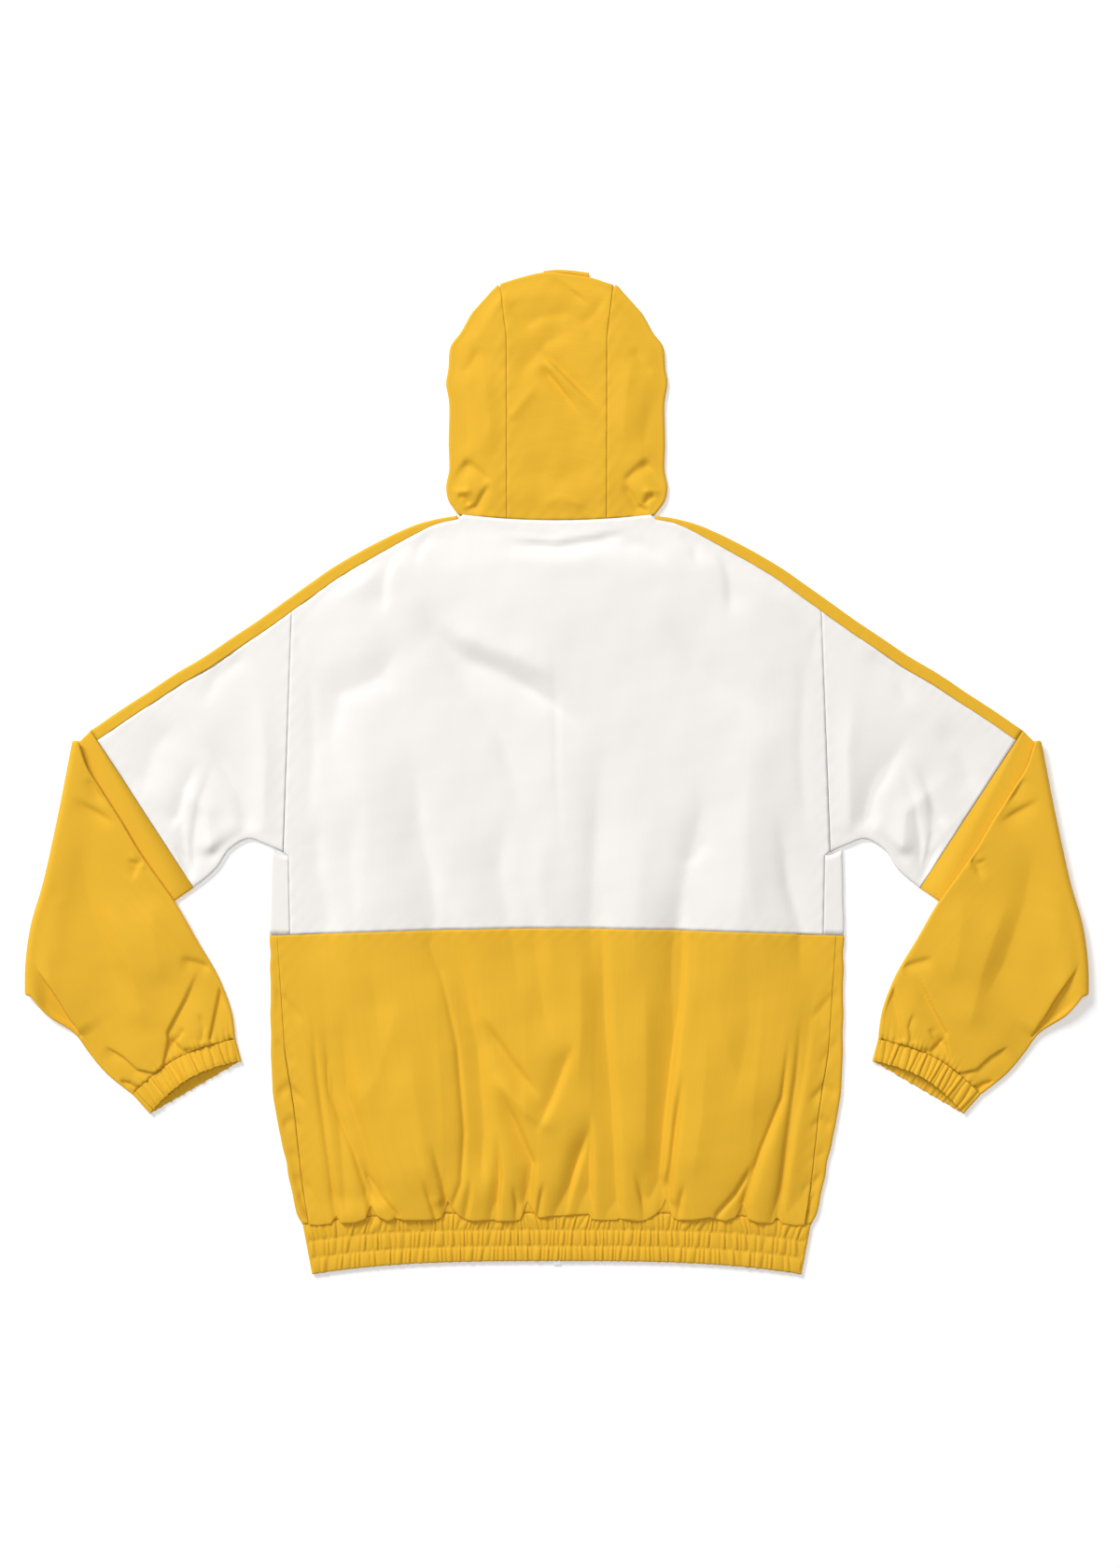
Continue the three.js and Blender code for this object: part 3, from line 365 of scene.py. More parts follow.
# %% Shells
def shell_faces(rows, columns, ring, kept):
    """Quads of the outer and the inner face of a shell, and of the rims between them."""
    cells = columns if ring else columns - 1
    i, j = np.meshgrid(np.arange(rows - 1), np.arange(cells), indexing="ij")
    i, j = i[kept], j[kept]
    inner = rows * columns

    def corner(up, on):
        return (i + up) * columns + (j + on) % columns

    a, b, c, d = corner(0, 0), corner(0, 1), corner(1, 1), corner(1, 0)
    quads = [np.stack([a, b, c, d], 1), np.stack([d, c, b, a], 1) + inner]
    here = np.zeros((rows + 1, cells + 2), bool)
    here[1:-1, 1:-1] = kept
    if ring:
        here[:, 0], here[:, -1] = here[:, -2], here[:, 1]
    sides = ((-1, 0, a, b), (1, 0, c, d), (0, -1, d, a), (0, 1, b, c))
    for di, dj, p, q in sides:
        rim = ~here[i + 1 + di, j + 1 + dj]
        quads.append(np.stack([q[rim], p[rim], p[rim] + inner, q[rim] + inner], 1))
    return np.concatenate(quads)


def placed(name, data):
    """A new object in the scene."""
    made = bpy.data.objects.new(name, data)
    bpy.context.collection.objects.link(made)
    return made


def mesh_of(name, vertices, quads, rims=0):
    """A mesh that is smooth all over, except for the rims that come last."""
    mesh = bpy.data.meshes.new(name)
    mesh.vertices.add(len(vertices))
    mesh.vertices.foreach_set("co", (vertices * MM).astype(np.float32).ravel())
    mesh.loops.add(quads.size)
    mesh.loops.foreach_set("vertex_index", quads.astype(np.int32).ravel())
    mesh.polygons.add(len(quads))
    mesh.polygons.foreach_set("loop_start", np.arange(0, quads.size, 4, dtype=np.int32))
    mesh.polygons.foreach_set("use_smooth", np.arange(len(quads)) < len(quads) - rims)
    mesh.update(calc_edges=True)
    return mesh


def shell(name, points, ring=False, kept=None):
    """A closed thin wall on a grid of points, as a new object with its cloth coordinates."""
    rows, columns = points.shape[:2]
    cells = columns if ring else columns - 1
    kept = np.ones((rows - 1, cells), bool) if kept is None else kept
    normals = grid_normals(points, ring)
    inner = points - normals * CLOTH
    vertices = np.concatenate([points.reshape(-1, 3), inner.reshape(-1, 3)])
    quads = shell_faces(rows, columns, ring, kept)
    facing = np.cross(points[1:, 0] - points[:-1, 0], points[:-1, 1] - points[:-1, 0])
    if np.sum(facing * normals[:-1, 0]) > 0:
        quads = quads[:, ::-1]
    used, quads = np.unique(quads, return_inverse=True)
    quads = quads.reshape(-1, 4)
    rims = len(quads) - 2 * np.count_nonzero(kept)
    made = placed(name, mesh_of(name, vertices[used], quads, rims))
    across = run_lengths(points, 1)
    across -= across[:, columns // 2][:, None]
    along = np.broadcast_to(run_lengths(points, 0).mean(axis=1)[:, None], across.shape)
    weave = np.stack([across, along, np.zeros_like(across)], -1).reshape(-1, 3) * MM
    stored = made.data.attributes.new("weave", "FLOAT_VECTOR", "POINT")
    stored.data.foreach_set("vector", np.tile(weave, (2, 1))[used].astype(np.float32).ravel())
    print(name, 2 * len(quads), "triangles")
    return made


def shares(count, bunch=0.0):
    """Shares from 0 to 1, closer together at both ends as `bunch` nears 1."""
    t = np.linspace(0, 1, count + 1)
    return mix(t, (1 - np.cos(math.pi * t)) / 2, bunch)


# %% [markdown]
# ## Materials
# The cloth is a tight plain weave of fine polyester yarn with a brushed, matt face. Three things
# make it read as cloth: a weave that follows each panel's own grain, long faint streaks where
# some warp yarns took more dye, and a soft sheen at grazing angles. Each is a short sum on
# sockets. The small class below lets such a sum be written as a Python expression.

# %% Sums on sockets
class Wire:
    """One output of a material's nodes, on which sums can be written."""

    def __init__(self, tree, socket=None):
        self.tree = tree
        self.socket = socket

    def node(self, kind, settings=(), inputs=(), output=0):
        """Adds a node: its settings first, then the values or wires of its inputs."""
        made = self.tree.nodes.new(kind)
        for name, value in dict(settings).items():
            setattr(made, name, value)
        for name, value in dict(inputs).items():
            if isinstance(value, Wire):
                self.tree.links.new(value.socket, made.inputs[name])
            else:
                made.inputs[name].default_value = value
        return Wire(self.tree, made.outputs[output])

    def sum(self, operation, first, second=0.0):
        return self.node("ShaderNodeMath", {"operation": operation}, {0: first, 1: second})

    def __add__(self, other):
        return self.sum("ADD", self, other)

    def __sub__(self, other):
        return self.sum("SUBTRACT", self, other)

    def __rsub__(self, other):
        return self.sum("SUBTRACT", other, self)

    def __mul__(self, other):
        return self.sum("MULTIPLY", self, other)

    __radd__ = __add__
    __rmul__ = __mul__

    def sine(self):
        return self.sum("SINE", self)

    def feeds(self, shader, name):
        self.tree.links.new(self.socket, shader.inputs[name])


# %% Colours and new materials
def blended(wire, factor, first, second):
    """A colour between two others."""
    settings = {"data_type": "RGBA"}
    return wire.node("ShaderNodeMix", settings, {0: factor, 6: first, 7: second}, output=2)


def new_material(name):
    """A material with only a Principled shader: the shader and a wire to write sums from."""
    material = bpy.data.materials.new(name)
    material.use_nodes = True
    tree = material.node_tree
    return material, tree.nodes["Principled BSDF"], Wire(tree)


def set_shader(shader, values):
    for name, value in values.items():
        shader.inputs[name].default_value = value


# %% Cloth
YARN = 0.00042  # one yarn and its gap, in metres
STREAK = {"across": 900.0, "along": 6.0}


def cloth_material(name, light, shade, sheen):
    """Plain weave in two tones of one colour, with streaks along the warp."""
    material, shader, wire = new_material(name)
    weave = wire.node("ShaderNodeAttribute", {"attribute_name": "weave"}, output=1)
    axes = {"Vector": weave}
    x = wire.node("ShaderNodeSeparateXYZ", (), axes, output=0)
    y = wire.node("ShaderNodeSeparateXYZ", (), axes, output=1)
    stretch = {"Vector": weave, "Scale": (STREAK["across"], STREAK["along"], 1.0)}
    along = wire.node("ShaderNodeMapping", (), stretch)
    streak = wire.node("ShaderNodeTexNoise", (), {"Vector": along, "Scale": 1.0, "Detail": 3.0})
    cloud = wire.node("ShaderNodeTexNoise", (), {"Vector": weave, "Scale": 14.0, "Detail": 4.0})
    tone = 0.55 * streak + 0.45 * cloud
    colour = blended(wire, (tone - 0.5) * 1.1 + 0.5, light, shade)
    warp = (x * (2 * math.pi / YARN)).sine()
    weft = (y * (2 * math.pi / YARN)).sine()
    knots = warp * weft
    bump = wire.node(
        "ShaderNodeBump", (), {"Strength": 0.16, "Distance": 0.0001, "Height": knots + 2 * streak}
    )
    colour.feeds(shader, "Base Color")
    (0.62 + 0.12 * tone).feeds(shader, "Roughness")
    bump.feeds(shader, "Normal")
    set_shader(shader, {"Sheen Weight": sheen, "Sheen Roughness": 0.45, "Specular IOR Level": 0.16})
    return material


print(round(0.01 / YARN), "yarns to a centimetre")
YELLOW = cloth_material("yellow_cloth", (0.835, 0.482, 0.030, 1), (0.735, 0.405, 0.024, 1), 0.06)
WHITE = cloth_material("white_cloth", (0.892, 0.868, 0.836, 1), (0.848, 0.82, 0.786, 1), 0.06)

# %% [markdown]
# ## Putting a panel on the garment
# Every piece of the scene is hung on the body it moves with, gets its material, and hides the
# CAD solid that it stands for.

# %% Dressing a node
def dress(piece, node, material, slot):
    """Gives a piece its material, hangs it on its body, and hides the CAD solid it stands for."""
    piece.data.materials.append(material)
    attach(piece, BODY)
    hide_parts(node)
    return piece


FINISHES = {"yellow": (YELLOW, "yellow_cloth"), "white": (WHITE, "white_cloth")}


def cloth_piece(node, points, colour, ring=False, kept=None):
    """A panel of the garment, from its grid to a dressed shell."""
    piece = dress(shell(f"cloth_{node}", points, ring, kept), node, *FINISHES[colour])
    return piece


# %% [markdown]
# ## The upper back
# One wide white panel, from the neck seam and the shoulder stripes down to the colour seam. It
# lies almost flat: a hard pull across the shoulders, a bump over the zip's slider on the front
# below it, and long soft folds that carry on into the gathers of the lower back.

# %% Creases of the upper back
ACROSS_SHOULDER = ((-140, 176), (-118, 134), (-92, 112), (-39, 91), (-3, 70), (34, 30))
UPPER_CREASES = [
    *on_both_sides([
        Crease(((-160, 224), (-170, 190), (-172, 150)), 5, 14, -2.4),
        Crease(((-262, 150), (-254, 132), (-250, 108)), 2.4, 7, -2.2, 0.1, 0.5),
        Crease(((-206, 196), (-216, 182), (-232, 176)), 2.4, 6, -1.6, 0.2, 0.4),
        Crease(((-122, 236), (-134, 222), (-140, 200)), 3, 8, -1.8, 0.1, 0.5),
        Crease(((-216, -230), (-190, -120), (-186, -40), (-198, 60)), 20, 30, 2.2),
        Crease(((-246, 120), (-240, 20), (-248, -70)), 6, 10, -1.4),
    ]),
    Crease(ACROSS_SHOULDER, 13, 20, -5.4, 0.3, 0.4),
    Crease(((-118, 156), (-92, 132), (-32, 110), (14, 86)), 16, 12, 2.8),
    Crease(((-60, 98), (-26, 82), (4, 62), (24, 42)), 2.6, 6, -1.5, 0.4, 0.4),
    Crease(((-120, 126), (-92, 90), (-57, 39), (-39, -15), (-40, -60)), 26, 12, -3.4, 0.3, 0.4),
    Crease(((-148, 136), (-173, 94), (-215, 76), (-222, 33), (-214, -10)), 14, 22, -3.6, 0.3, 0.4),
    Crease(((-142, 24), (-136, -52), (-124, -100), (-118, -155), (-112, -230)), 9, 26, -5.0, 0.4),
    Crease(((-51, -30), (-57, -100), (-46, -155), (-36, -230)), 12, 22, -3.6, 0.4),
    Crease(((-2, 140), (0, 20), (5, -90)), 1.6, 4, -0.9, 0.4, 0.4),
    Crease(((52, 44), (40, -28), (37, -100), (33, -155), (36, -220)), 20, 13, -3.4, 0.4),
    Crease(((131, 26), (143, -40), (125, -112), (118, -155), (122, -230)), 22, 13, -3.6, 0.4),
    Crease(((94, 170), (137, 106), (180, 70), (204, 20)), 26, 16, -3.4, 0.4, 0.4),
    Crease(((150, -60), (137, -84), (118, -96)), 6, 12, -1.3, 0.3, 0.4),
    Crease(((-196, -20), (-204, -90), (-198, -150), (-190, -210)), 18, 24, -3.0, 0.4),
    Crease(((86, -40), (82, -110), (76, -160), (80, -220)), 16, 24, 2.2, 0.4),
    Crease(((-14, -40), (-16, -110), (-8, -170), (-4, -230)), 18, 14, 2.2, 0.4),
    Crease(((176, -20), (184, -90), (178, -150), (172, -210)), 16, 26, 2.4, 0.4),
    Crease(((216, -30), (222, -64), (228, -112), (240, -149), (240, -210)), 14, 8, -3.4, 0.4),
    Crease(((-240, -10), (-236, -100), (-226, -137), (-222, -200)), 10, 20, -3.0, 0.4),
    Crease(((-62, 233), (-40, 226), (0, 222), (40, 229), (82, 239)), 3, 13, -4.8, 0.3, 0.3),
    Crease(((-70, 240), (-30, 236), (10, 233)), 2.4, 5, -1.6, 0.3, 0.3),
    Crease(((-70, 214), (0, 209), (66, 216)), 14, 10, 1.8),
    Crease(((58, 226), (84, 222), (112, 206)), 10, 5, -2.0, 0.3, 0.4),
]
ZIP_LIFT = {"front": 2.8, "from": 79, "full": 130, "hold": 206, "to": 246}
BILLOW = {"rise": 3.6, "sides": (190, 262), "low": (-340, -190), "high": (196, 246)}
SIDE_SHARE = 0.12
DOME = {"rise": 3.0, "y": 172.0, "wide": 70.0, "long": 90.0}  # the back, over the slider
print(len(UPPER_CREASES), "creases on the upper back")


def zip_lift(x, y):
    """How far the cloth stands up over the slider, as a share of its full lift."""
    along = ease(y, ZIP_LIFT["from"], ZIP_LIFT["full"]) - ease(y, ZIP_LIFT["hold"], ZIP_LIFT["to"])
    return along * (1 - ease(np.abs(x), 15, 46))


# %% [markdown]
# ## The lower back
# The yellow panel is cut fuller than the elastic band that it is sewn to, so it swells out above
# the band and hangs over it in round lobes. Between the lobes the cloth is pinched into sharp
# valleys that run up and fade. The valleys are placed one by one, and a last curl of the section
# rolls each lobe over and back under to its seam.

# %% Creases of the lower back
LONG_VALLEY = (
    (-134, -120), (-126, -170), (-112, -208), (-98, -270), (-91, -354), (-94, -405), (-107, -440),
)
BESIDE_VALLEY = ((-112, -110), (-104, -170), (-92, -208), (-78, -270), (-72, -354), (-76, -420))
BESIDE_LOBE = ((-230, -250), (-222, -320), (-200, -374), (-184, -424), (-183, -440))
LOWER_CREASES = [
    *on_both_sides([
        Crease(((-242, -230), (-236, -300), (-227, -364), (-217, -440)), 3, 4, -3.6, 0.4, 0),
        Crease(BESIDE_LOBE, 2, 2.6, -2.8, 0.4, 0),
        Crease(((-196, -382), (-176, -416), (-158, -436), (-157, -444)), 2.4, 2.4, -3.6, 0.3, 0),
        Crease(((-212, -350), (-176, -300), (-154, -220)), 22, 16, 2.4),
        Crease(((-116, -420), (-107, -440)), 7, 7, -3.0, 0.4, 0),
    ]),
    Crease(((-234, -200), (-224, -292), (-214, -354), (-207, -440)), 8, 16, -4.6, 0.5, 0.1),
    Crease(((-214, -230), (-206, -316), (-186, -380), (-172, -432)), 9, 20, -7.6, 0.45, 0.1),
    Crease(((-186, -170), (-176, -249), (-160, -333)), 14, 26, -3.0, 0.4),
    Crease(((-150, -250), (-136, -340), (-124, -420)), 14, 26, 3.4, 0.4, 0.2),
    Crease(LONG_VALLEY, 2.6, 3.2, -2.6, 0.6, 0),
    Crease(BESIDE_VALLEY, 10, 22, -7.4, 0.3, 0.15),
    Crease(((-124, -362), (-112, -404), (-107, -440)), 3, 4, -4.6, 0.5, 0),
    Crease(((-58, -352), (-56, -400), (-60, -444)), 2, 8, -6.4, 0.5, 0),
    Crease(((-84, -396), (-86, -420), (-90, -441)), 2, 5, -3.2, 0.5, 0),
    Crease(((-44, -404), (-40, -424), (-38, -442)), 4, 2, -3.0, 0.5, 0),
    Crease(((-12, -400), (-16, -420), (-19, -439)), 3, 2, -3.0, 0.5, 0),
    Crease(((76, -392), (84, -420), (90, -441)), 5, 2, -3.4, 0.5, 0),
    Crease(((126, -402), (122, -424), (119, -441)), 2, 4, -3.2, 0.5, 0),
    Crease(((-132, -398), (-124, -424), (-119, -441)), 4, 2, -3.2, 0.5, 0),
    Crease(((-76, -240), (-46, -284), (-14, -324)), 3.5, 14, -4.8),
    Crease(((-66, -296), (-30, -334), (2, -356)), 10, 6, 3.4),
    Crease(((-62, -306), (-43, -341), (-24, -384), (-29, -440)), 3.2, 13, -7.0, 0.35, 0),
    Crease(((18, -262), (-4, -320), (-24, -360)), 4, 11, -4.6),
    Crease(((-28, -120), (-16, -220), (-2, -280)), 12, 24, -4.6, 0.4),
    Crease(((22, -170), (24, -250), (20, -320)), 14, 12, 3.0),
    Crease(((34, -344), (18, -392), (4, -440)), 3, 10, -6.0, 0.4, 0),
    Crease(((32, -326), (32.5, -396), (33, -440)), 3, 18, -6.6, 0.5, 0),
    Crease(((42, -110), (48, -250), (54, -323), (60, -440)), 5, 20, -6.0, 0.4, 0),
    Crease(((86, -190), (88, -300), (86, -400)), 14, 18, 3.4, 0.3, 0.2),
    Crease(((124, -110), (120, -229), (107, -333), (101, -396), (107, -440)), 4.5, 22, -9.0, 0.35, 0),
    Crease(((125, -290), (117, -354), (107, -440)), 2.6, 5, -6.0, 0.4, 0),
    Crease(((150, -240), (142, -340), (132, -410)), 20, 18, 3.4, 0.4, 0.2),
    Crease(((186, -170), (190, -249), (172, -333)), 26, 20, -3.0, 0.4),
    Crease(((234, -250), (222, -320), (200, -374), (184, -424), (183, -440)), 6, 18, -3.6, 0.45, 0),
    Crease(((254, -200), (244, -292), (232, -354), (218, -440)), 4, 12, -4.6, 0.5, 0),
]
SIDE_CREASES = on_both_sides([
    Crease(((-284, -212), (-268, -224), (-248, -248)), 3, 7, -1.6),
    Crease(((-285, -262), (-272, -270), (-256, -292)), 2.4, 5, -1.2),
    Crease(((-282, -322), (-264, -310), (-246, -328)), 3, 6, -2.2),
    Crease(((-276, -354), (-262, -342), (-248, -352)), 2.4, 6, -2.0),
    Crease(((-274, -378), (-262, -376), (-250, -384)), 2.4, 4, -1.4),
    Crease(((-268, -394), (-256, -402), (-240, -418)), 3, 6, -2.2),
    Crease(((-258, -414), (-250, -424), (-244, -440)), 2.4, 4, -2.0, 0.3, 0),
])
BLOUSE = {"rise": 9.4, "from": 0.04, "crest": 0.86, "drop": 3.6}
LOBE_EDGE = table(
    "x y",
    (-246, -446), (-236, -447), (-222, -445), (-217, -438), (-212, -445), (-198, -444.5),
    (-188, -441), (-183, -428), (-177, -438), (-166, -443), (-157, -440), (-150, -442),
    (-130, -442), (-119.5, -441.6), (-113, -439.3), (-110, -431.8), (-107.4, -422), (-103.6, -430),
    (-97, -436.5), (-90.5, -440.8), (-82, -443), (-61.4, -441.2), (-60, -442.7), (-44.5, -443),
    (-36, -441.5), (-33.2, -435.5), (-29.1, -423.3), (-23.8, -431.8), (-19.1, -439.3),
    (-12.5, -439.3), (-5, -437.8), (6.2, -437.4), (15.6, -436.6), (32.2, -435.6), (33.8, -440.8),
    (43.8, -442), (59.7, -441.6), (60.7, -440.2), (81.3, -443), (88, -441.7), (98.2, -435.5),
    (103.9, -430), (107.2, -420.5), (109.5, -428), (114.2, -439.3), (119, -441.6), (134, -442),
    (150.4, -439.3), (158, -441), (166, -443), (176, -439), (183, -427), (188, -441),
    (198, -444.5), (212, -445), (217, -439), (222, -445), (236, -447), (246, -446),
)
ROLL = {"room": 3.0, "over": 6.5, "bare": 5.0, "lip": 1.0, "seam": 4.6}
TAIL_ROWS = 5
print(len(LOWER_CREASES), "creases on the lower back")


# %% Relief of the whole back
def back_relief(x, y):
    """Creases run over the colour seam, so both panels of the back read the same tables."""
    height = creased(UPPER_CREASES, x, y) + creased(LOWER_CREASES, x, y) + 1.3 * waves(x, y)
    dome = np.exp(-((x / DOME["wide"]) ** 2) - ((y - DOME["y"]) / DOME["long"]) ** 2)
    inside = 1 - ease(np.abs(x), *BILLOW["sides"])
    billow = inside * ease(y, *BILLOW["low"]) * (1 - ease(y, *BILLOW["high"]))
    return height + DOME["rise"] * dome + BILLOW["rise"] * billow


def side_ease(points):
    """How much of the relief is left beside a side seam."""
    return mix(SIDE_SHARE, 1, ease(edge_distance(points, ["first", "last"]), 0, 40))


# %% Upper back
STRIPE = table(
    "x y wide",
    (-98, 252.8, 4), (-119, 249.3, 5), (-144, 242, 9), (-181, 224.5, 11.5),
    (-218, 203.5, 12), (-243, 186.3, 12.3), (-268.5, 168.2, 12.5), (-295, 149.2, 12.5),
    (-322, 131.2, 12.5), (-349, 112.9, 12.5), (-376, 97, 12.3), (-403, 78.8, 12),
    (-430, 61.3, 12), (-459.5, 41, 12),
)
ARMHOLE_ROW = 6
STRIPE_ROWS = len(STRIPE["x"]) - 1


def stripe_fold(rows, side):
    """The shoulder stripe's outer fold, at places counted in rows of its table."""
    index = np.arange(STRIPE_ROWS + 1, dtype=float)
    x = flowing(rows, index, STRIPE["x"])
    return np.stack([-side * x, flowing(rows, index, STRIPE["y"])], -1)


def stripe_inner(rows, side, gap=0.0):
    """The stripe's inner edge on the back, moved in by a gap."""
    wide = flowing(rows, np.arange(STRIPE_ROWS + 1, dtype=float), STRIPE["wide"]) + gap
    way = unit(stripe_fold(rows + 0.1, side) - stripe_fold(rows - 0.1, side))
    return stripe_fold(rows, side) + side * quarter_turn(way) * wide[:, None]


def shoulder_line(neckline, last_x, count):
    """Top edge of an upper panel, from the armhole towards the middle of the neck."""
    seam = stripe_inner(np.linspace(ARMHOLE_ROW, 0, 40), 1, SEAM_GAP)
    x = np.linspace(seam[-1, 0], last_x, 24)[1:]
    line = np.concatenate([seam, np.stack([x, neckline(x) - SEAM_GAP], -1)])
    return on_path(line, shares(count), soft=False)


def back_upper():
    half = shoulder_line(neck_y, 0.0, 84)
    tops = np.concatenate([half * [-1, 1], half[-2::-1]])
    up = shares(104, 0.12)[:, None]
    y = mix(colour_seam_y(tops[:, 0]) + SEAM_GAP / 2, tops[:, 1], up)
    wide = read(UPPER_SIDE_SEAM, "y", y, "half") - SEAM_GAP
    x = tops[:, 0] / half[0, 0] * wide
    points = np.stack([x, y, np.full(x.shape, LAID)], -1)
    edge = ease(edge_distance(points, ["high"]), 0, SETTLE) * side_ease(points)
    points[..., 2] += np.maximum(back_relief(x, y) * edge, LEAST - LAID)
    return sewn(points, EVERY_EDGE)


cloth_piece("back_upper", back_upper(), "white")

# %% Lower back
def lower_seam_half(y):
    return read(LOWER_SIDE_SEAM, "y", y, "half")


def back_lower():
    across = np.linspace(-1, 1, 391)
    band_x = across * LOWER_SIDE_SEAM["half"][0]
    seam_x = across * LOWER_SIDE_SEAM["half"][-1]
    down = shares(96, 0.1)[:, None]
    rim = np.interp(band_x, LOBE_EDGE["x"], LOBE_EDGE["y"])
    top = colour_seam_y(seam_x) - SEAM_GAP / 2
    y = mix(top, rim + ROLL["room"], down)
    x = across * lower_seam_half(mix(top[0], rim[0], down))
    swell = ease(down, BLOUSE["from"], BLOUSE["crest"]) * BLOUSE["rise"]
    swell = swell - BLOUSE["drop"] * ease(down, BLOUSE["crest"], 1.05)
    points = np.stack([x, y, np.full(x.shape, LAID)], -1)
    side = ease(edge_distance(points, ["first", "last"]), 0, 46)
    relief = back_relief(x, y) * side_ease(points) + creased(SIDE_CREASES, x, y)
    points[..., 2] += np.maximum(swell * side + relief, LEAST - LAID)
    under = roll_under(rim, band_x)
    lowest = mix(LEAST, under + ROLL["lip"], ease(down, 0.8, 1))
    points[..., 2] = np.maximum(points[..., 2], lowest)
    points = sewn(points, ["first", "last", "low"])
    return np.concatenate([points, rolled_foot(points[-1], rim, under, band_x)])


def roll_under(rim, x):
    """Height of a lobe's under side: on the band's pleats, or lower where it is drawn back."""
    return mix(ROLL["bare"], ROLL["over"], ease(band_top_y(x) - rim, -5, 3))


def rolled_foot(last, rim, under, x):
    """The last rows of the panel: each lobe rolls over and back under, to the band's seam."""
    angle = np.linspace(math.pi / 2, -math.pi / 2, 9)[1:, None]
    radius = (last[:, 2] - under) / 2
    y = last[:, 1] - (last[:, 1] - rim) * np.cos(angle)
    z = under + radius * (1 + np.sin(angle))
    rolled = np.stack([np.broadcast_to(last[:, 0], y.shape), y, z], -1)
    seam = np.stack([x, band_top_y(x) + SEAM_GAP / 2, np.full(x.shape, ROLL["seam"])], -1)
    share = np.linspace(0, 1, TAIL_ROWS + 1)[1:, None, None]
    tail = mix(rolled[-1], seam, share)
    gathers = np.abs(np.sin(x / 1.9 + 0.6 * np.sin(x / 5)))
    tail[..., 2] += 0.5 * gathers * np.sin(math.pi * share[..., 0])
    return np.concatenate([rolled, tail])


cloth_piece("back_lower", back_lower(), "yellow")

# %% [markdown]
# ## The fronts
# Each front wraps round the side, shows as a narrow strip on the back, and runs under the body to
# the zip. It is one grid: a short piece of upper layer, the fold, and the long lower layer. The
# underside has quieter creases of the same kind, because the garment's weight lies on it.

# %% Creases of the underside
UNDER_CREASES = [
    *on_both_sides([
        Crease(((-236, -436), (-228, -330), (-214, -210)), 9, 6, 2.4, 0.0, 0.5),
        Crease(((-192, -438), (-186, -352), (-170, -262)), 6, 11, 2.6, 0.0, 0.5),
        Crease(((-151, -438), (-143, -372), (-150, -300)), 9, 5, 2.0, 0.0, 0.5),
        Crease(((-108, -438), (-112, -340), (-92, -200)), 7, 12, 2.6, 0.0, 0.4),
        Crease(((-66, -438), (-58, -360), (-62, -270)), 8, 5, 1.8, 0.0, 0.5),
        Crease(((-38, -438), (-42, -392), (-36, -340)), 4, 6, 1.4, 0.0, 0.5),
        Crease(((-240, -90), (-190, -20), (-120, 20)), 12, 16, 1.4),
        Crease(((-70, 170), (-110, 80), (-118, -60)), 14, 18, 1.2),
    ])
]
UNDER_CLEAR = (17.0, 42.0)  # the fronts stay flat beside the zip
print(len(UNDER_CREASES), "creases on the underside")


def under_relief(x, y):
    """Height of the lower layer above the table, which it never goes through."""
    soft = creased(UNDER_CREASES, x, y) + 0.35 + 1.2 * waves(x + 40, y)
    flat = ease(np.abs(x), *UNDER_CLEAR)
    return np.maximum(soft, 0) * flat + ZIP_LIFT["front"] * zip_lift(x, y)


# %% Lower fronts
ZIP_EDGE = 5.0
SIDE_Y = (COLOUR_SEAM["y"] - COLOUR_SEAM["drop"], BAND_TOP["y"] - BAND_TOP["drop"])


def side_fold(y):
    wobble = 0.6 * np.sin(y / 8.3 + 2 * np.sin(y / 31)) * np.sin(y / 21 + 1) ** 2
    return flowing(y, SIDE_FOLD["y"], SIDE_FOLD["half"]) + wobble * ease(y, -440, -400)


def sideways(side, x):
    """Flat places on one side of the garment, with their y still to be set."""
    return np.stack([side * x, np.zeros_like(x)], -1)


def strip_relief(x, y):
    """Beside its side fold a front shares a little of the back's relief, and has its own."""
    return SIDE_SHARE * back_relief(x, y) + creased(SIDE_CREASES, x, y)


def front_lower(side):
    down = shares(84, 0.15)
    y = mix(*SIDE_Y, down)
    start = sideways(side, lower_seam_half(y) + SEAM_GAP)
    end = sideways(side, np.full(y.shape, ZIP_EDGE))
    grid = folded(start, sideways(side, side_fold(y)), end, shares(8), shares(62, 0.1))
    x = grid.points[..., 0]
    top = colour_seam_y(x) - SEAM_GAP / 2
    grid.points[..., 1] = mix(top, band_top_y(x) + SEAM_GAP / 2, down[:, None])
    points = raised(grid, strip_relief, under_relief, settle=8).points
    return sewn(points, ["first", "low", "high"])


for name, side in SIDES:
    cloth_piece(f"front_lower_{name}", front_lower(side), "yellow")


# %% Upper fronts
CHIN_Y = 180.0
UNDERARM_LEVELS = (-82.2, -79.0)  # the side seam ends and the armhole begins
LOW_ROWS, HIGH_ROWS = 15, 52  # rows of a front below the armhole and beside it
CATCH = {"rise": 6.5, "across": (267, 285), "up": (-112, -82)}


def front_neckline(x):
    """From the end of the shoulder down to the chin, where the zip ends."""
    share = np.clip((np.abs(x) - ZIP_EDGE) / (NECK["half"] - ZIP_EDGE), 0, 1)
    return mix(CHIN_Y, neck_y(NECK["half"]) - 1, share) - NECK["dip"] * np.sin(math.pi * share)


def caught(x, y):
    """The corner under the arm is drawn up until it meets the sleeve."""
    return CATCH["rise"] * ease(np.abs(x), *CATCH["across"]) * ease(y, *CATCH["up"])


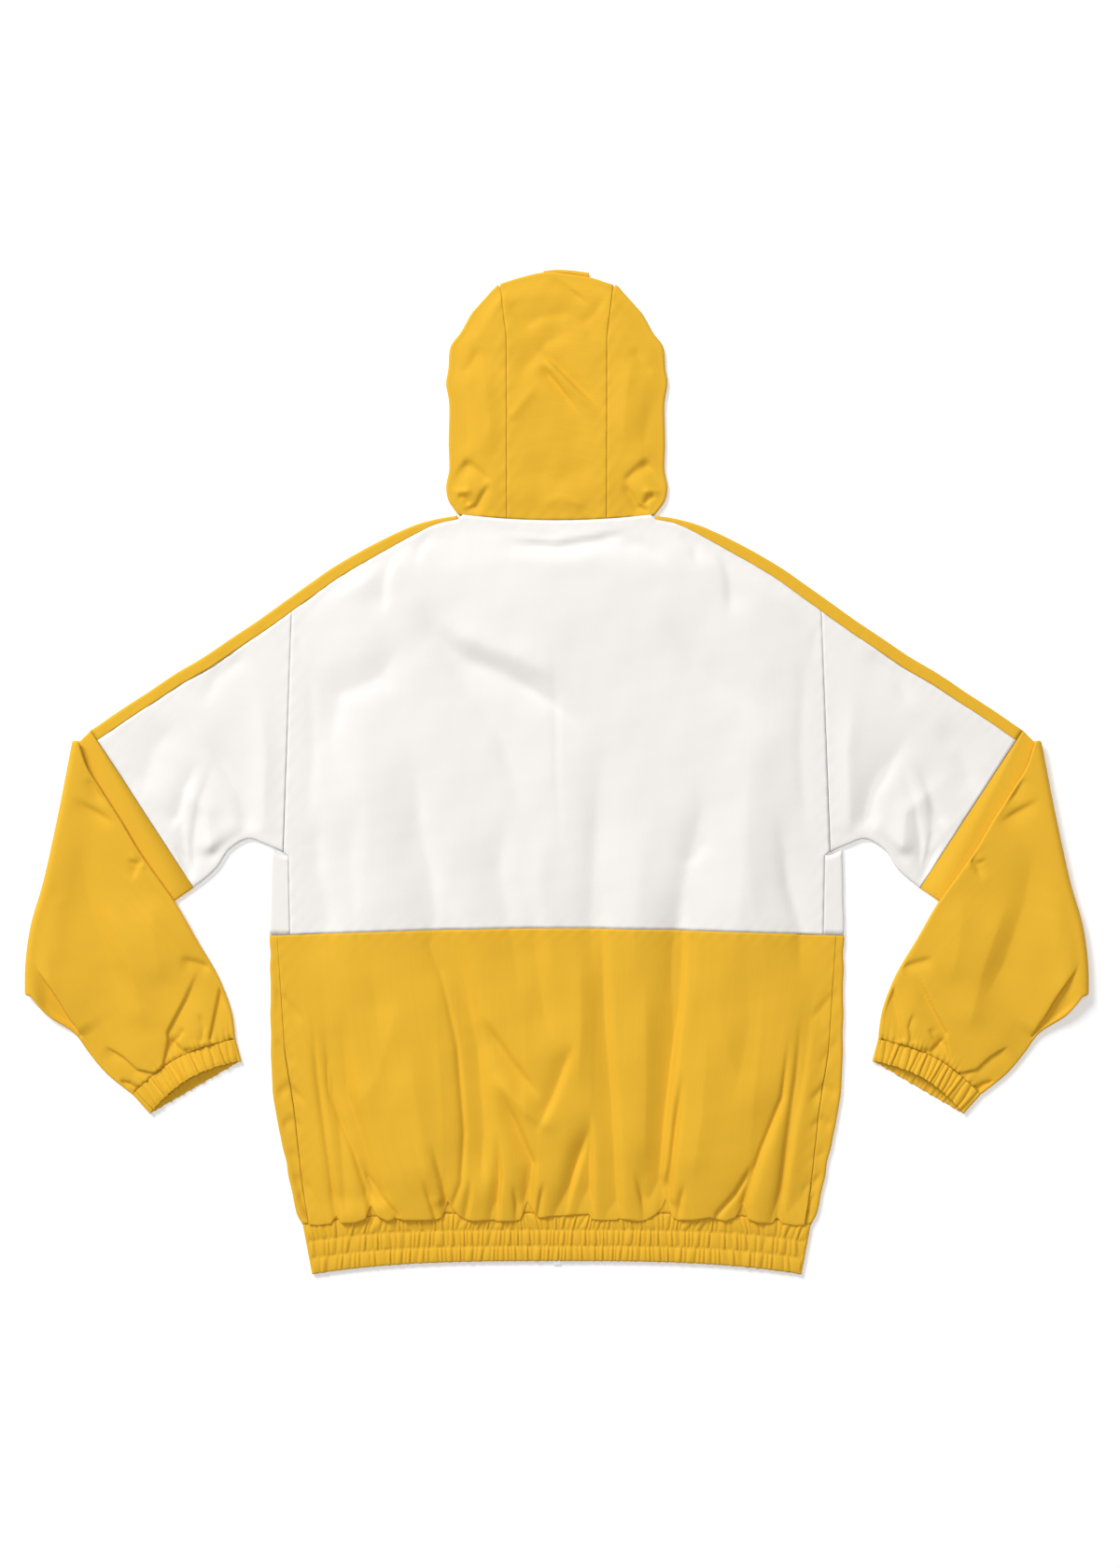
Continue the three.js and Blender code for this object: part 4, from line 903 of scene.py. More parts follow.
def front_upper(side):
    line = shoulder_line(front_neckline, ZIP_EDGE, 70)
    low = colour_seam_y(line[0, 0]) + SEAM_GAP / 2
    below, above = ((level - low) / (line[0, 1] - low) for level in UNDERARM_LEVELS)
    up = np.concatenate([np.linspace(0, below, LOW_ROWS), np.linspace(above, 1, HIGH_ROWS)])
    y = mix(colour_seam_y(line[:, 0]) + SEAM_GAP / 2, line[:, 1], up[:, None])
    inset = (line[:, 0] - ZIP_EDGE) / (line[0, 0] - ZIP_EDGE)
    x = mix(ZIP_EDGE, read(UPPER_SIDE_SEAM, "y", y, "half") - SEAM_GAP, inset)
    flat = np.stack([side * x, y, under_relief(side * x, y)], -1)
    seam = read(UPPER_SIDE_SEAM, "y", np.minimum(y[:, 0], UNDERARM_LEVELS[0]), "half")
    ends = (sideways(side, seam + SEAM_GAP), sideways(side, side_fold(y[:, 0])), sideways(side, seam))
    wrap = folded(*ends, shares(9), shares(5)).points[:, :-1]
    wrap[..., 1] = y[:, :1] + caught(wrap[..., 0], y[:, :1])
    points = np.concatenate([wrap, flat], axis=1)
    kept = np.ones((points.shape[0] - 1, points.shape[1] - 1), bool)
    kept[LOW_ROWS - 1:, :wrap.shape[1]] = False
    return sewn(points, ["first", "low", "high"]), kept


for name, side in SIDES:
    points, kept = front_upper(side)
    cloth_piece(f"front_upper_{name}", points, "white", kept=kept)

# %% [markdown]
# ## Shoulders and upper sleeves
# A yellow stripe lies along the fold of each shoulder and sleeve, so half of it shows. The upper
# sleeve below it goes round the underarm fold. Its creases fan out from the underarm, where the
# cloth has no way to lie flat.

# %% Creases of the upper sleeves
SLEEVE_CREASES = [
    Crease(((-299, -66), (-286, -72), (-280, -64)), 3, 6, -3.0, 0.1, 0.5),
    Crease(((-301, -61), (-324, -80), (-350, -91)), 3, 8, -3.4, 0.05, 0.3),
    Crease(((-300, -64), (-312, -20), (-352, 46)), 8, 15, -3.6, 0.1, 0.5),
    Crease(((-290, -66), (-286, 20), (-298, 96)), 12, 18, 2.6, 0.1, 0.5),
    Crease(((-358, -112), (-359, -70), (-353, -31), (-340, 6), (-330, 26)), 3, 8, -2.2, 0.05, 0.7),
    Crease(((-361, -108), (-370, -60), (-368, -29), (-358, -2)), 6, 3, -1.8, 0.05, 0.7),
    Crease(((-360, -110), (-368, -89), (-380, -67)), 2, 5, -2.6, 0.05, 0.6),
    Crease(((-352, -82), (-328, -66), (-306, -53)), 12, 5, 2.8, 0.3, 0.2),
    Crease(((-384, -58), (-374, -42), (-367, -18), (-352, 16)), 10, 5, -2.8, 0.2, 0.5),
    Crease(((-340, -84), (-344, -40), (-398, 4)), 12, 10, 2.4, 0.1, 0.5),
    Crease(((-372, 52), (-398, 22), (-412, -30)), 12, 20, -2.2),
    Crease(((-300, 120), (-336, 92), (-352, 60)), 8, 14, -1.8),
]
ARMHOLE_CLEAR = (265, 292)  # the sleeve's relief comes in over this distance from the middle
print(len(SLEEVE_CREASES), "creases on each upper sleeve")


def sleeve_relief(side):
    """Creases of the sleeve, which leave the armhole's seam as flat as the back does."""
    def relief(x, y):
        clear = mix(SIDE_SHARE, 1, ease(np.abs(x), *ARMHOLE_CLEAR))
        return clear * (creased(SLEEVE_CREASES, -np.abs(x), y) + waves(side * x + 90, y))
    return relief


# %% Stripes and upper sleeves
UNDERARM = np.array([
    (-270, -79), (-286.6, -71.8), (-303, -66.3), (-322.5, -76.4), (-335.3, -94.8), (-357.8, -114.4),
])


def shoulder_stripe(side):
    rows = np.linspace(0, STRIPE_ROWS, 118)
    inner = stripe_inner(rows, side)
    grid = folded(inner, stripe_fold(rows, side), inner, shares(6), shares(4))
    points = raised(grid, lambda x, y: 2 * waves(3 * x, 3 * y)).points
    return sewn(points, EVERY_EDGE, pucker=0.7)


def sleeve_upper(side):
    along = np.linspace(0, 1, 78)
    start = stripe_inner(mix(ARMHOLE_ROW, STRIPE_ROWS, along), side, SEAM_GAP)
    start[:, 0] += side * SEAM_GAP * (1 - ease(along, 0, 0.1))
    edge = on_path(UNDERARM, along) * [-side, 1]
    grid = folded(start, edge, start, shares(56, 0.1), shares(14))
    points = raised(grid, sleeve_relief(side), lambda x, y: 0.5 + 2 * waves(x, y)).points
    return sewn(points, EVERY_EDGE)


for name, side in SIDES:
    stripe = shoulder_stripe(side)
    cloth_piece(f"shoulder_stripe_{name}", stripe, "yellow")
    cloth_piece(f"sleeve_upper_{name}", sleeve_upper(side), "white")

# %% [markdown]
# ## Lower sleeves
# Each lower sleeve is a tube that is bent double at the elbow, so one grid of rings does it all:
# a few rings from the colour seam to the elbow, some that roll over the fold, and the forearm,
# which lies on the upper sleeve and comes down to the table past its edge. Two deep folds near
# the cuff end in lobes that hang over it, in the same way as on the lower back.

# %% The elbow and the forearm
ELBOW = {"top": np.array([-477, 31.3]), "bottom": np.array([-524, -220.0]), "clear": 1.5}
COLOUR_SEAM_SLEEVE = {"upper": (-459.7, 40.8), "lower": (-357.96, -114.68)}
ARM_WAY = (-0.858, -0.513)  # the hidden lower edge of the upper arm runs this way
OVERLAP = {"rest": 0.5, "near": 4.0, "reach": 84.0, "settle": 34.0}
BEND = LAID + ELBOW["clear"]
ELBOW_OUT = -quarter_turn(unit(ELBOW["top"] - ELBOW["bottom"]))
BELLY = table("share out", (0, 0), (0.33, 0.8), (0.57, 3), (0.74, 7), (0.9, 4.5), (1, 0))
print("the elbow's fold is", 2 * BEND, "mm high")


def inward(point):
    return point - ELBOW_OUT * BEND


def forearm_floor(x, y):
    """Height of what the forearm lies on: the fold, then the upper sleeve, then the table."""
    past = -(x - ELBOW["bottom"][0]) * ARM_WAY[1] + (y - ELBOW["bottom"][1]) * ARM_WAY[0]
    held = 1 - ease(past, OVERLAP["near"], OVERLAP["reach"])
    inside = -((x - ELBOW["top"][0]) * ELBOW_OUT[0] + (y - ELBOW["top"][1]) * ELBOW_OUT[1])
    settled = ease(inside, BEND, BEND + OVERLAP["settle"])
    return mix(2 * BEND - LAID, LAID + OVERLAP["rest"], settled) * held


def rolled(row, angle):
    """A flat row of points, rolled about the elbow's fold."""
    out = (BEND - row[:, 2]) * math.sin(angle)
    flat = row[:, :2] + ELBOW_OUT * out[:, None]
    return np.column_stack([flat, BEND - (BEND - row[:, 2]) * math.cos(angle)])


def bellied(points):
    """The elbow's fold isn't straight: the cloth there bellies out above its lower corner."""
    along = ELBOW["bottom"] - ELBOW["top"]
    flat = points[..., :2] - ELBOW["top"]
    share = np.clip(flat @ along / (along @ along), 0, 1)
    out = flowing(share, BELLY["share"], BELLY["out"]) * (1 - ease(-flat @ ELBOW_OUT, 4, 60))
    moved = points.copy()
    moved[..., :2] += out[..., None] * ELBOW_OUT
    return moved


def laid_over(points):
    """Points of a flat tube, turned upside down on to what is under the forearm."""
    moved = points.copy()
    moved[..., 2] = forearm_floor(points[..., 0], points[..., 1]) + LAID - points[..., 2]
    return moved


# %% Creases of the lower sleeves
CUFF_PLEATS = 21
FOREARM_LONG = 290.0
INTO_CUFF = ((-350, -190), (-356, -203), (-366, -225), (-383, -257), (-382, -266), (-389, -296))
ALONG_CUFF = ((-447, -270), (-427, -282), (-414, -294), (-391, -299), (-385, -297))
ELBOW_LEDGE = ((-523, -146), (-519, -158), (-507, -198), (-482, -243), (-468, -264))
FOREARM_CREASES = [
    Crease(INTO_CUFF, 12, 0.9, -3.4, 0.35, 0),
    Crease(ALONG_CUFF, 0.9, 8, -3.2, 0.2, 0),
    Crease(((-326, -198), (-331, -212), (-335, -231), (-342, -266)), 9, 0.9, -3.0, 0.2, 0.05),
    Crease(((-352, -236), (-347, -252), (-350, -268)), 1.4, 4, -1.8, 0.3, 0.1),
    Crease(((-366, -252), (-372, -262), (-380, -268)), 1.4, 4, -2.0, 0.3, 0.1),
    Crease(((-406, -90), (-416, -90), (-424, -88)), 1.4, 4, -1.8, 0.1, 0.4),
    Crease(((-384, -262), (-368, -276), (-356, -272)), 2.4, 6, -3.2, 0.3, 0.3),
    Crease(((-432, -306), (-421, -308), (-412, -314)), 2.4, 4, -3.4, 0.2, 0.1),
    Crease(((-496, -48), (-484, -40), (-474, -29), (-453, -40), (-432, -53)), 3, 9, -3.4),
    Crease(((-500, -76), (-497, -100), (-488, -132)), 8, 12, -2.4),
    Crease(((-406, -84), (-412, -92), (-420, -108)), 2, 7, -2.6, 0.05, 0.5),
    Crease(((-404, -93), (-412, -88), (-424, -84)), 3, 5, 1.8, 0.1, 0.4),
    Crease(((-458, -6), (-452, -20), (-438, -32)), 3, 8, -2.6, 0.1, 0.5),
    Crease(((-372, -184), (-356, -188), (-338, -194)), 3, 7, -2.8),
    Crease(ELBOW_LEDGE, 1.5, 44, -6.5, 0.06, 0.04),
    Crease(tuple((x + 2, y + 1) for x, y in ELBOW_LEDGE), 18, 1.2, 3.6, 0.1, 0.1),
    Crease(((-520, -220), (-484, -243), (-472, -257)), 2, 5, -2.8, 0.1, 0.1),
    Crease(((-470, -66), (-460, -130), (-440, -190), (-412, -240)), 14, 20, -3.8),
    Crease(((-446, -120), (-420, -190), (-404, -262)), 18, 16, 3.4, 0.3, 0.2),
    Crease(((-400, -120), (-396, -170), (-386, -214)), 14, 20, 2.2),
    Crease(((-486, -90), (-492, -140), (-482, -200)), 14, 16, 1.4),
]


CUFF_GATHER = {"rise": 1.5, "middle": 0.6, "reach": 6.5}
PUFF = {"rise": 3.6, "side": 0.22, "along": (0.4, 0.85)}  # the sleeve swells above its cuff
SEEN = {"fold": 0.035, "along": (0.02, 0.16), "sink": 3.6, "tuck": 1.6, "tuck_reach": 3.0}
print(len(FOREARM_CREASES), "creases on each forearm")


def gathers_at_cuff(away, across):
    """Small gathers that fan out from the cuff's seam."""
    pleat = np.abs(np.sin(math.pi * (CUFF_PLEATS * across + 0.3 * np.sin(19 * across))))
    gather = CUFF_GATHER["rise"] * (pleat - CUFF_GATHER["middle"])
    return gather * np.exp(-away / CUFF_GATHER["reach"])


def seen_relief(side, flat, share, across):
    """The forearm's seen face, before it is laid over: lower there is higher when it lies."""
    x, y = flat[..., 0], flat[..., 1]
    from_fold = np.minimum(across, 1 - across)
    puffed = PUFF["rise"] * ease(from_fold, 0, PUFF["side"]) * ease(share, *PUFF["along"])
    relief = creased(FOREARM_CREASES, x, y) + waves(side * x, y) + puffed
    relief = np.maximum(relief, -SEEN["sink"]) * ease(share, *SEEN["along"])
    away = (1 - share) * FOREARM_LONG
    tucked = SEEN["tuck"] * np.exp(-((away / SEEN["tuck_reach"]) ** 2))
    return (relief + gathers_at_cuff(away, across) - tucked) * ease(from_fold, 0, SEEN["fold"])


# %% Lower sleeves
FOREARM_INNER = np.array([
    (-461.4, 3.7), (-450, -15), (-429.2, -47.8), (-410.5, -79), (-403, -90), (-373.5, -132),
    (-355.6, -163.8), (-331, -208), (-320.5, -238), (-317, -263.5),
])
FOREARM_OUTER = np.array([
    (-503.7, -238.3), (-473.3, -260.4), (-463.2, -275), (-445.7, -296.2), (-418.4, -318.3),
])
CUFF = {
    "inner": np.array([-311.4, -284.8]), "outer": np.array([-401.6, -337.4]),
    "bow": 10.5, "hidden": 2.0, "open": 5.5, "pleat": 2.5, "under": 0.6, "runs": 0.9,
    "rim": 0.8, "rim_share": 0.12,
}


def tube(a, b, over=18, under=144):
    """A flat tube between two folds, with the share of its width at every point."""
    grid = around(a, b, shares(over), shares(under, 0.1))
    width = np.linalg.norm(b - a, axis=-1)[:, None]
    across = np.sum((grid.points[..., :2] - a[:, None]) * unit(b - a)[:, None], axis=-1) / width
    return grid, np.clip(across, 0, 1)


def between_rows(first, last, count):
    return mix(np.array(first), np.array(last), np.linspace(0, 1, count)[:, None])


def upper_part():
    """From the colour seam to the fold, and the rings that roll over it."""
    a = between_rows(COLOUR_SEAM_SLEEVE["upper"], inward(ELBOW["top"]), 9)
    b = between_rows(COLOUR_SEAM_SLEEVE["lower"], inward(ELBOW["bottom"]), 9)
    flat = tube(a, b)[0].points
    bend = [rolled(flat[-1], angle) for angle in np.linspace(0, math.pi, 13)[1:]]
    return np.concatenate([flat, np.array(bend)])


def forearm(side):
    share = np.linspace(0, 1, 131)[1:] ** 0.9
    a = on_path([inward(ELBOW["top"]), *FOREARM_INNER], share)
    b = on_path([inward(ELBOW["bottom"]), *FOREARM_OUTER], share)
    grid, across = tube(a, b)
    points = grid.points
    bow = np.sin(math.pi * across) * share[:, None] ** 4
    way = quarter_turn(unit(b - a))[:, None]
    seen = grid.layer < 0
    points[..., :2] += way * (bow * np.where(seen, CUFF["bow"], CUFF["hidden"]))[..., None]
    points[..., 2] -= np.where(seen, seen_relief(side, points, share[:, None], across), 0)
    return laid_over(points)


def sleeve_lower(side):
    points = bellied(np.concatenate([upper_part(), forearm(side)]))
    points = sewn(points, ["low", "high"], ring=True)
    return points * [-side, 1, 1]


for name, side in SIDES:
    sleeve = sleeve_lower(side)
    cloth_piece(f"sleeve_lower_{name}", sleeve, "yellow", ring=True)


# %% Cuffs
def cuff_pleats(across, share):
    """Elastic gathers of a cuff: round ridges with sharp valleys, no two the same."""
    phase = CUFF_PLEATS * across + 0.35 * np.sin(9 * across + 1)
    phase = phase + 0.2 * np.sin(31 * across + 2 * share)
    ridge = np.abs(np.sin(math.pi * phase)) ** 0.6
    return ridge * (0.8 + 0.4 * np.sin(2.4 * np.floor(phase) + 1))


def pleat_at_rim(across, share):
    """The rim of the cuff runs in and out with its pleats."""
    return (cuff_pleats(across, share) - 0.5) * ease(share, 0.75, 1)


def cuff(side):
    share = shares(18, 0.3)[:, None]
    away = unit(CUFF["inner"] - FOREARM_INNER[-1]) * SEAM_GAP
    a = mix(FOREARM_INNER[-1] + away, CUFF["inner"], share)
    b = mix(FOREARM_OUTER[-1] + away, CUFF["outer"], share)
    grid, across = tube(a, b, 100, 190)
    points = grid.points
    bow = np.sin(math.pi * across)
    seen = grid.layer < 0
    shift = np.where(seen, CUFF["bow"], CUFF["hidden"] * (1 - share)) * bow
    shift = shift - CUFF["runs"] * pleat_at_rim(across, share)
    points[..., :2] += quarter_turn(unit(b - a))[:, None] * shift[..., None]
    pleat = cuff_pleats(across, share) * mix(0.7, 1.0, np.sin(math.pi * share))
    rim = CUFF["rim"] * np.exp(-(((1 - share) / CUFF["rim_share"]) ** 2))
    seen_rise = CUFF["pleat"] * (pleat - 0.4) + CUFF["open"] * share * bow - rim
    hidden_rise = CUFF["under"] * CUFF["pleat"] * pleat
    points[..., 2] -= np.where(seen, seen_rise, np.where(grid.layer > 0, hidden_rise, 0))
    return laid_over(points) * [-side, 1, 1]


for name, side in SIDES:
    cloth_piece(f"cuff_{name}", cuff(side), "yellow", ring=True)

# %% [markdown]
# ## The hem band
# The band is cloth over wide elastic, stitched flat in two rows while it was stretched. When the
# elastic lets go, the cloth stands up in close pleats, which the two rows pinch into three
# channels. The pleats are a wave across the band. Each is round on top and sharp between, and
# its place shifts from channel to channel, which is what makes it look sewn and not moulded.

# %% Small bars, for stitches and the zip's coil
def bars_mesh(name, rings):
    """Many small closed bars in one mesh, each a run of rings with flat ends."""
    bars, along, round_ = rings.shape[:3]
    quads = []
    for i in range(along - 1):
        for j in range(round_):
            k = (j + 1) % round_
            quads.append((i * round_ + j, i * round_ + k, (i + 1) * round_ + k, (i + 1) * round_ + j))
    for start in (0, (along - 1) * round_):
        for j in range(1, round_ - 2, 2):
            cap = (start, start + j, start + j + 1, start + j + 2)
            quads.append(cap[::-1] if start == 0 else cap)
    quads = np.array(quads)
    every = (quads[None] + np.arange(bars)[:, None, None] * along * round_).reshape(-1, 4)
    mesh = mesh_of(name, rings.reshape(-1, 3), every)
    whole = bmesh.new()
    whole.from_mesh(mesh)
    bmesh.ops.recalc_face_normals(whole, faces=whole.faces)
    whole.to_mesh(mesh)
    whole.free()
    print(name, bars, "bars")
    return placed(name, mesh)


def nylon_material(name, colour):
    """Thread or moulded nylon: one colour with a little unevenness."""
    material, shader, wire = new_material(name)
    place = wire.node("ShaderNodeTexCoord", output=3)
    cloud = wire.node("ShaderNodeTexNoise", (), {"Vector": place, "Scale": 90.0, "Detail": 3.0})
    dark = tuple(0.8 * c for c in colour[:3]) + (1,)
    tone = blended(wire, cloud, colour, dark)
    tone.feeds(shader, "Base Color")
    (0.35 + 0.3 * cloud).feeds(shader, "Roughness")
    return material


# %% Stitches
STITCH = {"pitch": 3.3, "long": 2.3, "thick": 0.2, "lift": (-0.3, 0.12, 0.12, -0.3)}
STITCH_SHARES = np.array([-0.5, -0.28, 0.28, 0.5])
print("a stitch every", STITCH["pitch"], "mm")


def stitches(path, normals):
    """Thread on the cloth along a path: one short bar for each stitch, with its ends sunk in."""
    lengths = np.linalg.norm(np.diff(path, axis=0), axis=1)
    reached = np.concatenate([[0], np.cumsum(lengths)])
    middles = np.arange(STITCH["pitch"], reached[-1] - STITCH["pitch"], STITCH["pitch"])
    at = middles[:, None] + STITCH["long"] * STITCH_SHARES
    spine = np.stack([np.interp(at, reached, path[:, k]) for k in range(3)], -1)
    out = unit(np.stack([np.interp(at, reached, normals[:, k]) for k in range(3)], -1))
    spine = spine + out * np.array(STITCH["lift"])[None, :, None]
    angle = np.linspace(0, 2 * math.pi, 9)[:-1, None]
    up = np.array([0.0, 1.0, 0.0])
    ring = np.cos(angle) * out[..., None, :] + np.sin(angle) * up
    bars = spine[..., None, :] + STITCH["thick"] * ring
    bars[..., 2] = np.maximum(bars[..., 2], 0)
    return bars


# %% Hem band
BAND = {"rows": (0.0, 0.35, 0.685, 1.0), "channel": 11, "pleat": 2.1, "bulge": 1.3, "pinch": 0.35}
PITCH = {"middle": 4.9, "side": 8.6}
COUNTED_X = np.linspace(-260, 260, 2601)
PLEAT_WIDTH = mix(PITCH["middle"], PITCH["side"], (np.abs(COUNTED_X) / 260) ** 2.5)
COUNTED = np.cumsum((COUNTED_X[1] - COUNTED_X[0]) / PLEAT_WIDTH)


def band_pleats(x, channel, inside):
    """Height of the pleats in one channel of the band, as a share of a full pleat."""
    phase = np.interp(x, COUNTED_X, COUNTED) + 0.31 * channel
    phase = phase + 0.30 * np.sin(x / (6.1 + channel)) + 0.22 * np.sin(x / 2.7 + 2 * channel)
    slant = np.where(channel == 0, 1.1 * np.sin(x / 17), 0.25 * np.sin(x / 11 + channel))
    phase = phase + slant * (inside - 0.5)
    ridge = np.abs(np.sin(math.pi * phase)) ** 0.75
    return ridge * (0.78 + 0.3 * np.sin(2.9 * np.floor(phase) + channel))


def hem_band():
    rows = np.array(BAND["rows"])
    down = np.interp(np.linspace(0, 3, 3 * BAND["channel"] + 1), np.arange(4), rows)
    half = mix(HEM["top"], HEM["bottom"], down)
    centre = np.zeros((len(down), 2))
    zip_side = np.full_like(half, ZIP_EDGE)
    left, right = (
        folded(centre, sideways(side, half), sideways(side, zip_side), shares(388), shares(44))
        for _, side in SIDES
    )
    points = np.concatenate([left.points[:, ::-1], right.points[:, 1:]], axis=1)
    layer = np.concatenate([left.layer[:, ::-1], right.layer[:, 1:]], axis=1)
    away = np.concatenate([left.away[:, ::-1], right.away[:, 1:]], axis=1)
    x = points[..., 0]
    channel = np.clip(np.searchsorted(rows, down, side="right") - 1, 0, 2)
    inside = ((down - rows[channel]) / (rows[channel + 1] - rows[channel]))[:, None]
    channel = channel[:, None]
    pleat = band_pleats(x, channel, inside)
    firm = np.sin(math.pi * np.clip(inside, 0, 1)) ** 0.6
    settled = mix(0.35, 1.0, ease(away, 0, 9))
    top = settled * BAND["pleat"] * (pleat - 0.55) * mix(BAND["pinch"], 1, firm)
    top = top + BAND["bulge"] * (firm - 0.5)
    under = 0.75 * BAND["pleat"] * (1 - pleat * mix(0.5, 1, firm)) * ease(np.abs(x), *UNDER_CLEAR)
    points[..., 2] += np.where(layer > 0, top, np.where(layer < 0, under, 0))
    edge = 0.6 * (pleat - 0.5) * down[:, None] ** 10
    points[..., 1] = mix(band_top_y(x) - SEAM_GAP / 2, band_bottom_y(x), down[:, None]) - edge
    return points


THREAD = nylon_material("thread", (0.84, 0.48, 0.03, 1))
band = hem_band()
band_normals = grid_normals(band)
cloth_piece("hem_band", band, "yellow")
for number in (1, 2):
    row = number * BAND["channel"]
    thread = bars_mesh(f"hem_stitches_{number}", stitches(band[row], band_normals[row]))
    dress(thread, "hem_band", THREAD, "yellow_cloth")

# %% [markdown]
# ## The hood
# Three panels: one up the middle that turns over the crown, and one on each side. A strip at the
# hood's hem peeps out over the crown. The hood lies on its own front, so its corners at the neck
# are pushed into short hard folds.

# %% Creases of the hood
HOOD_CREASES = [
    *on_both_sides([
        Crease(((-88, 448), (-93, 436), (-104, 416)), 3, 6, -2.6, 0.2, 0.3),
        Crease(((-86, 308), (-98, 294), (-110, 281)), 8, 2.6, -4.4, 0.2, 0),
        Crease(((-90, 308), (-76, 296), (-64, 284)), 2.6, 7, -2.8, 0.2, 0.3),
        Crease(((-112, 280), (-99, 276), (-82, 276)), 2.6, 3, 3.6, 0.05, 0.3),
        Crease(((-98, 272), (-91, 270), (-86, 262)), 3, 3, -3.8, 0.2, 0.3),
        Crease(((-64, 286), (-73, 273), (-79, 262), (-92, 256)), 5, 2.6, -3.2, 0.3, 0.1),
        Crease(((-66, 310), (-66, 350), (-74, 410)), 14, 10, 2.0),
        Crease(((-106, 376), (-90, 344), (-84, 314)), 8, 14, -2.0),
        Crease(((-74, 420), (-86, 400), (-98, 392)), 8, 5, -1.6),
    ]),
    Crease(((-8, 490), (8, 479), (34, 458)), 2, 7, -3.2, 0.2, 0.4),
    Crease(((-22, 421), (-10, 409), (21, 379), (50, 353)), 6, 2, -3.8, 0.3, 0.4),
    Crease(((-14, 410), (18, 374), (42, 350)), 5, 4, 2.4, 0.2, 0.5),
    Crease(((-17, 403), (-1, 383), (16, 362), (33, 338)), 2, 7, -4.0, 0.2, 0.7),
    Crease(((-46, 426), (-16, 449), (12, 452), (48, 426)), 12, 7, -2.0, 0.3, 0.3),
    Crease(((-49, 345), (-30, 368), (-14, 388)), 8, 6, 1.6, 0.2, 0.4),
    Crease(((22, 440), (-10, 424), (-44, 382)), 9, 12, -2.6),
    Crease(((-36, 302), (0, 288), (38, 304)), 16, 12, -1.6),
    Crease(((-20, 262), (4, 270), (32, 260)), 6, 8, 1.6),
    Crease(((48, 470), (38, 452), (22, 440)), 5, 8, -1.4),
    Crease(((-50, 468), (-38, 450), (-20, 436)), 8, 5, -1.4),
]
HOOD_BILLOW = {"rise": 2.4, "from": (250, 282)}
print(len(HOOD_CREASES), "creases on the hood")


def hood_relief(x, y):
    billow = HOOD_BILLOW["rise"] * ease(y, *HOOD_BILLOW["from"])
    return creased(HOOD_CREASES, x, y) + 1.4 * waves(1.6 * x, 1.6 * y) + billow


# %% Hood centre
CROWN = {"half": 56.0, "under": 402.0}
CROWN_EDGE = table(
    "x y", (-56, 481.5), (-33.6, 488.5), (-11.2, 493), (11.2, 491.3), (33.6, 487.7), (56, 480.7)
)
HOOD_SEAM = table("y half", (248, 49.3), (428, 49.6), (477, 55.7), (500, 56))
HOOD_DIP = 0.4  # the hood's seams show more than the body's


def seam_half(y):
    return read(HOOD_SEAM, "y", y, "half")


def hood_centre():
    across = np.linspace(-1, 1, 68)
    crown_x = across * (CROWN["half"] - SEAM_GAP)
    crown_y = flowing(across * CROWN["half"], CROWN_EDGE["x"], CROWN_EDGE["y"])
    neck_x = across * (seam_half(NECK["y"]) - SEAM_GAP)
    start = np.stack([crown_x, neck_y(neck_x) + SEAM_GAP], -1)
    edge = np.stack([crown_x, crown_y], -1)
    end = np.stack([crown_x, np.full(crown_x.shape, CROWN["under"])], -1)
    grid = folded(start, edge, end, shares(104, 0.1), shares(24))
    x, y = grid.points[..., 0], grid.points[..., 1]
    narrow = across[:, None] * (seam_half(y) - SEAM_GAP)
    grid.points[..., 0] = np.where(grid.layer > 0, narrow, x)
    points = raised(grid, hood_relief, lambda x, y: 0.4 + waves(x, y)).points
    return sewn(points, EVERY_EDGE, deep=HOOD_DIP)


cloth_piece("hood_center", hood_centre(), "yellow")


# %% Hood sides and hem strip
HOOD_SIDE = table(
    "sy ox oy gx gy",
    (250, 96.5, 253.4, 5, 180.5), (260, 102.3, 260.6, 10, 205), (272, 107.4, 269, 14, 225),
    (290, 109.2, 282, 20, 252), (308, 106.2, 299, 26, 280), (330, 106.8, 325, 32, 308),
    (364, 106.2, 362, 44, 348), (384, 109.2, 383, 51, 374), (402, 107, 398, 56.2, 396),
    (420, 105, 419, 56.2, 410), (434, 94.5, 434, 56.2, 420), (450, 85, 451, 56.2, 436),
    (462, 77.5, 460, 56.2, 448), (471, 68.5, 470, 56.4, 459), (477, 58.6, 481, 57.2, 471),
)
HOOD_HEM = table(
    "x low top", (-13, 493.2, 493.9), (-1, 492.7, 495.4), (10, 491.9, 495.1),
    (21, 490.3, 494), (32, 488.5, 492.3),
)


def hood_underside(x, y):
    return 0.3 + waves(x, y) + ZIP_LIFT["front"] * zip_lift(x, y)


def hood_side(side):
    at = np.linspace(0, len(HOOD_SIDE["sy"]) - 1, 108)
    index = np.arange(len(HOOD_SIDE["sy"]), dtype=float)
    columns = {name: flowing(at, index, HOOD_SIDE[name]) for name in HOOD_SIDE}
    start = np.stack([side * seam_half(columns["sy"]), columns["sy"]], -1)
    edge = np.stack([side * columns["ox"], columns["oy"]], -1)
    end = np.stack([side * columns["gx"], columns["gy"]], -1)
    grid = folded(start, edge, end, shares(42, 0.2), shares(26))
    under = np.where(grid.layer < 0, 1.0, 0.0)
    reached = np.cumsum(under, axis=1) / under.sum(axis=1, keepdims=True)
    sag = np.maximum(0, NECK["dip"] - 3 * at)[:, None]
    grid.points[..., 1] -= under * sag * np.sin(math.pi * reached)
    points = raised(grid, hood_relief, hood_underside).points
    return sewn(points, EVERY_EDGE, deep=HOOD_DIP)


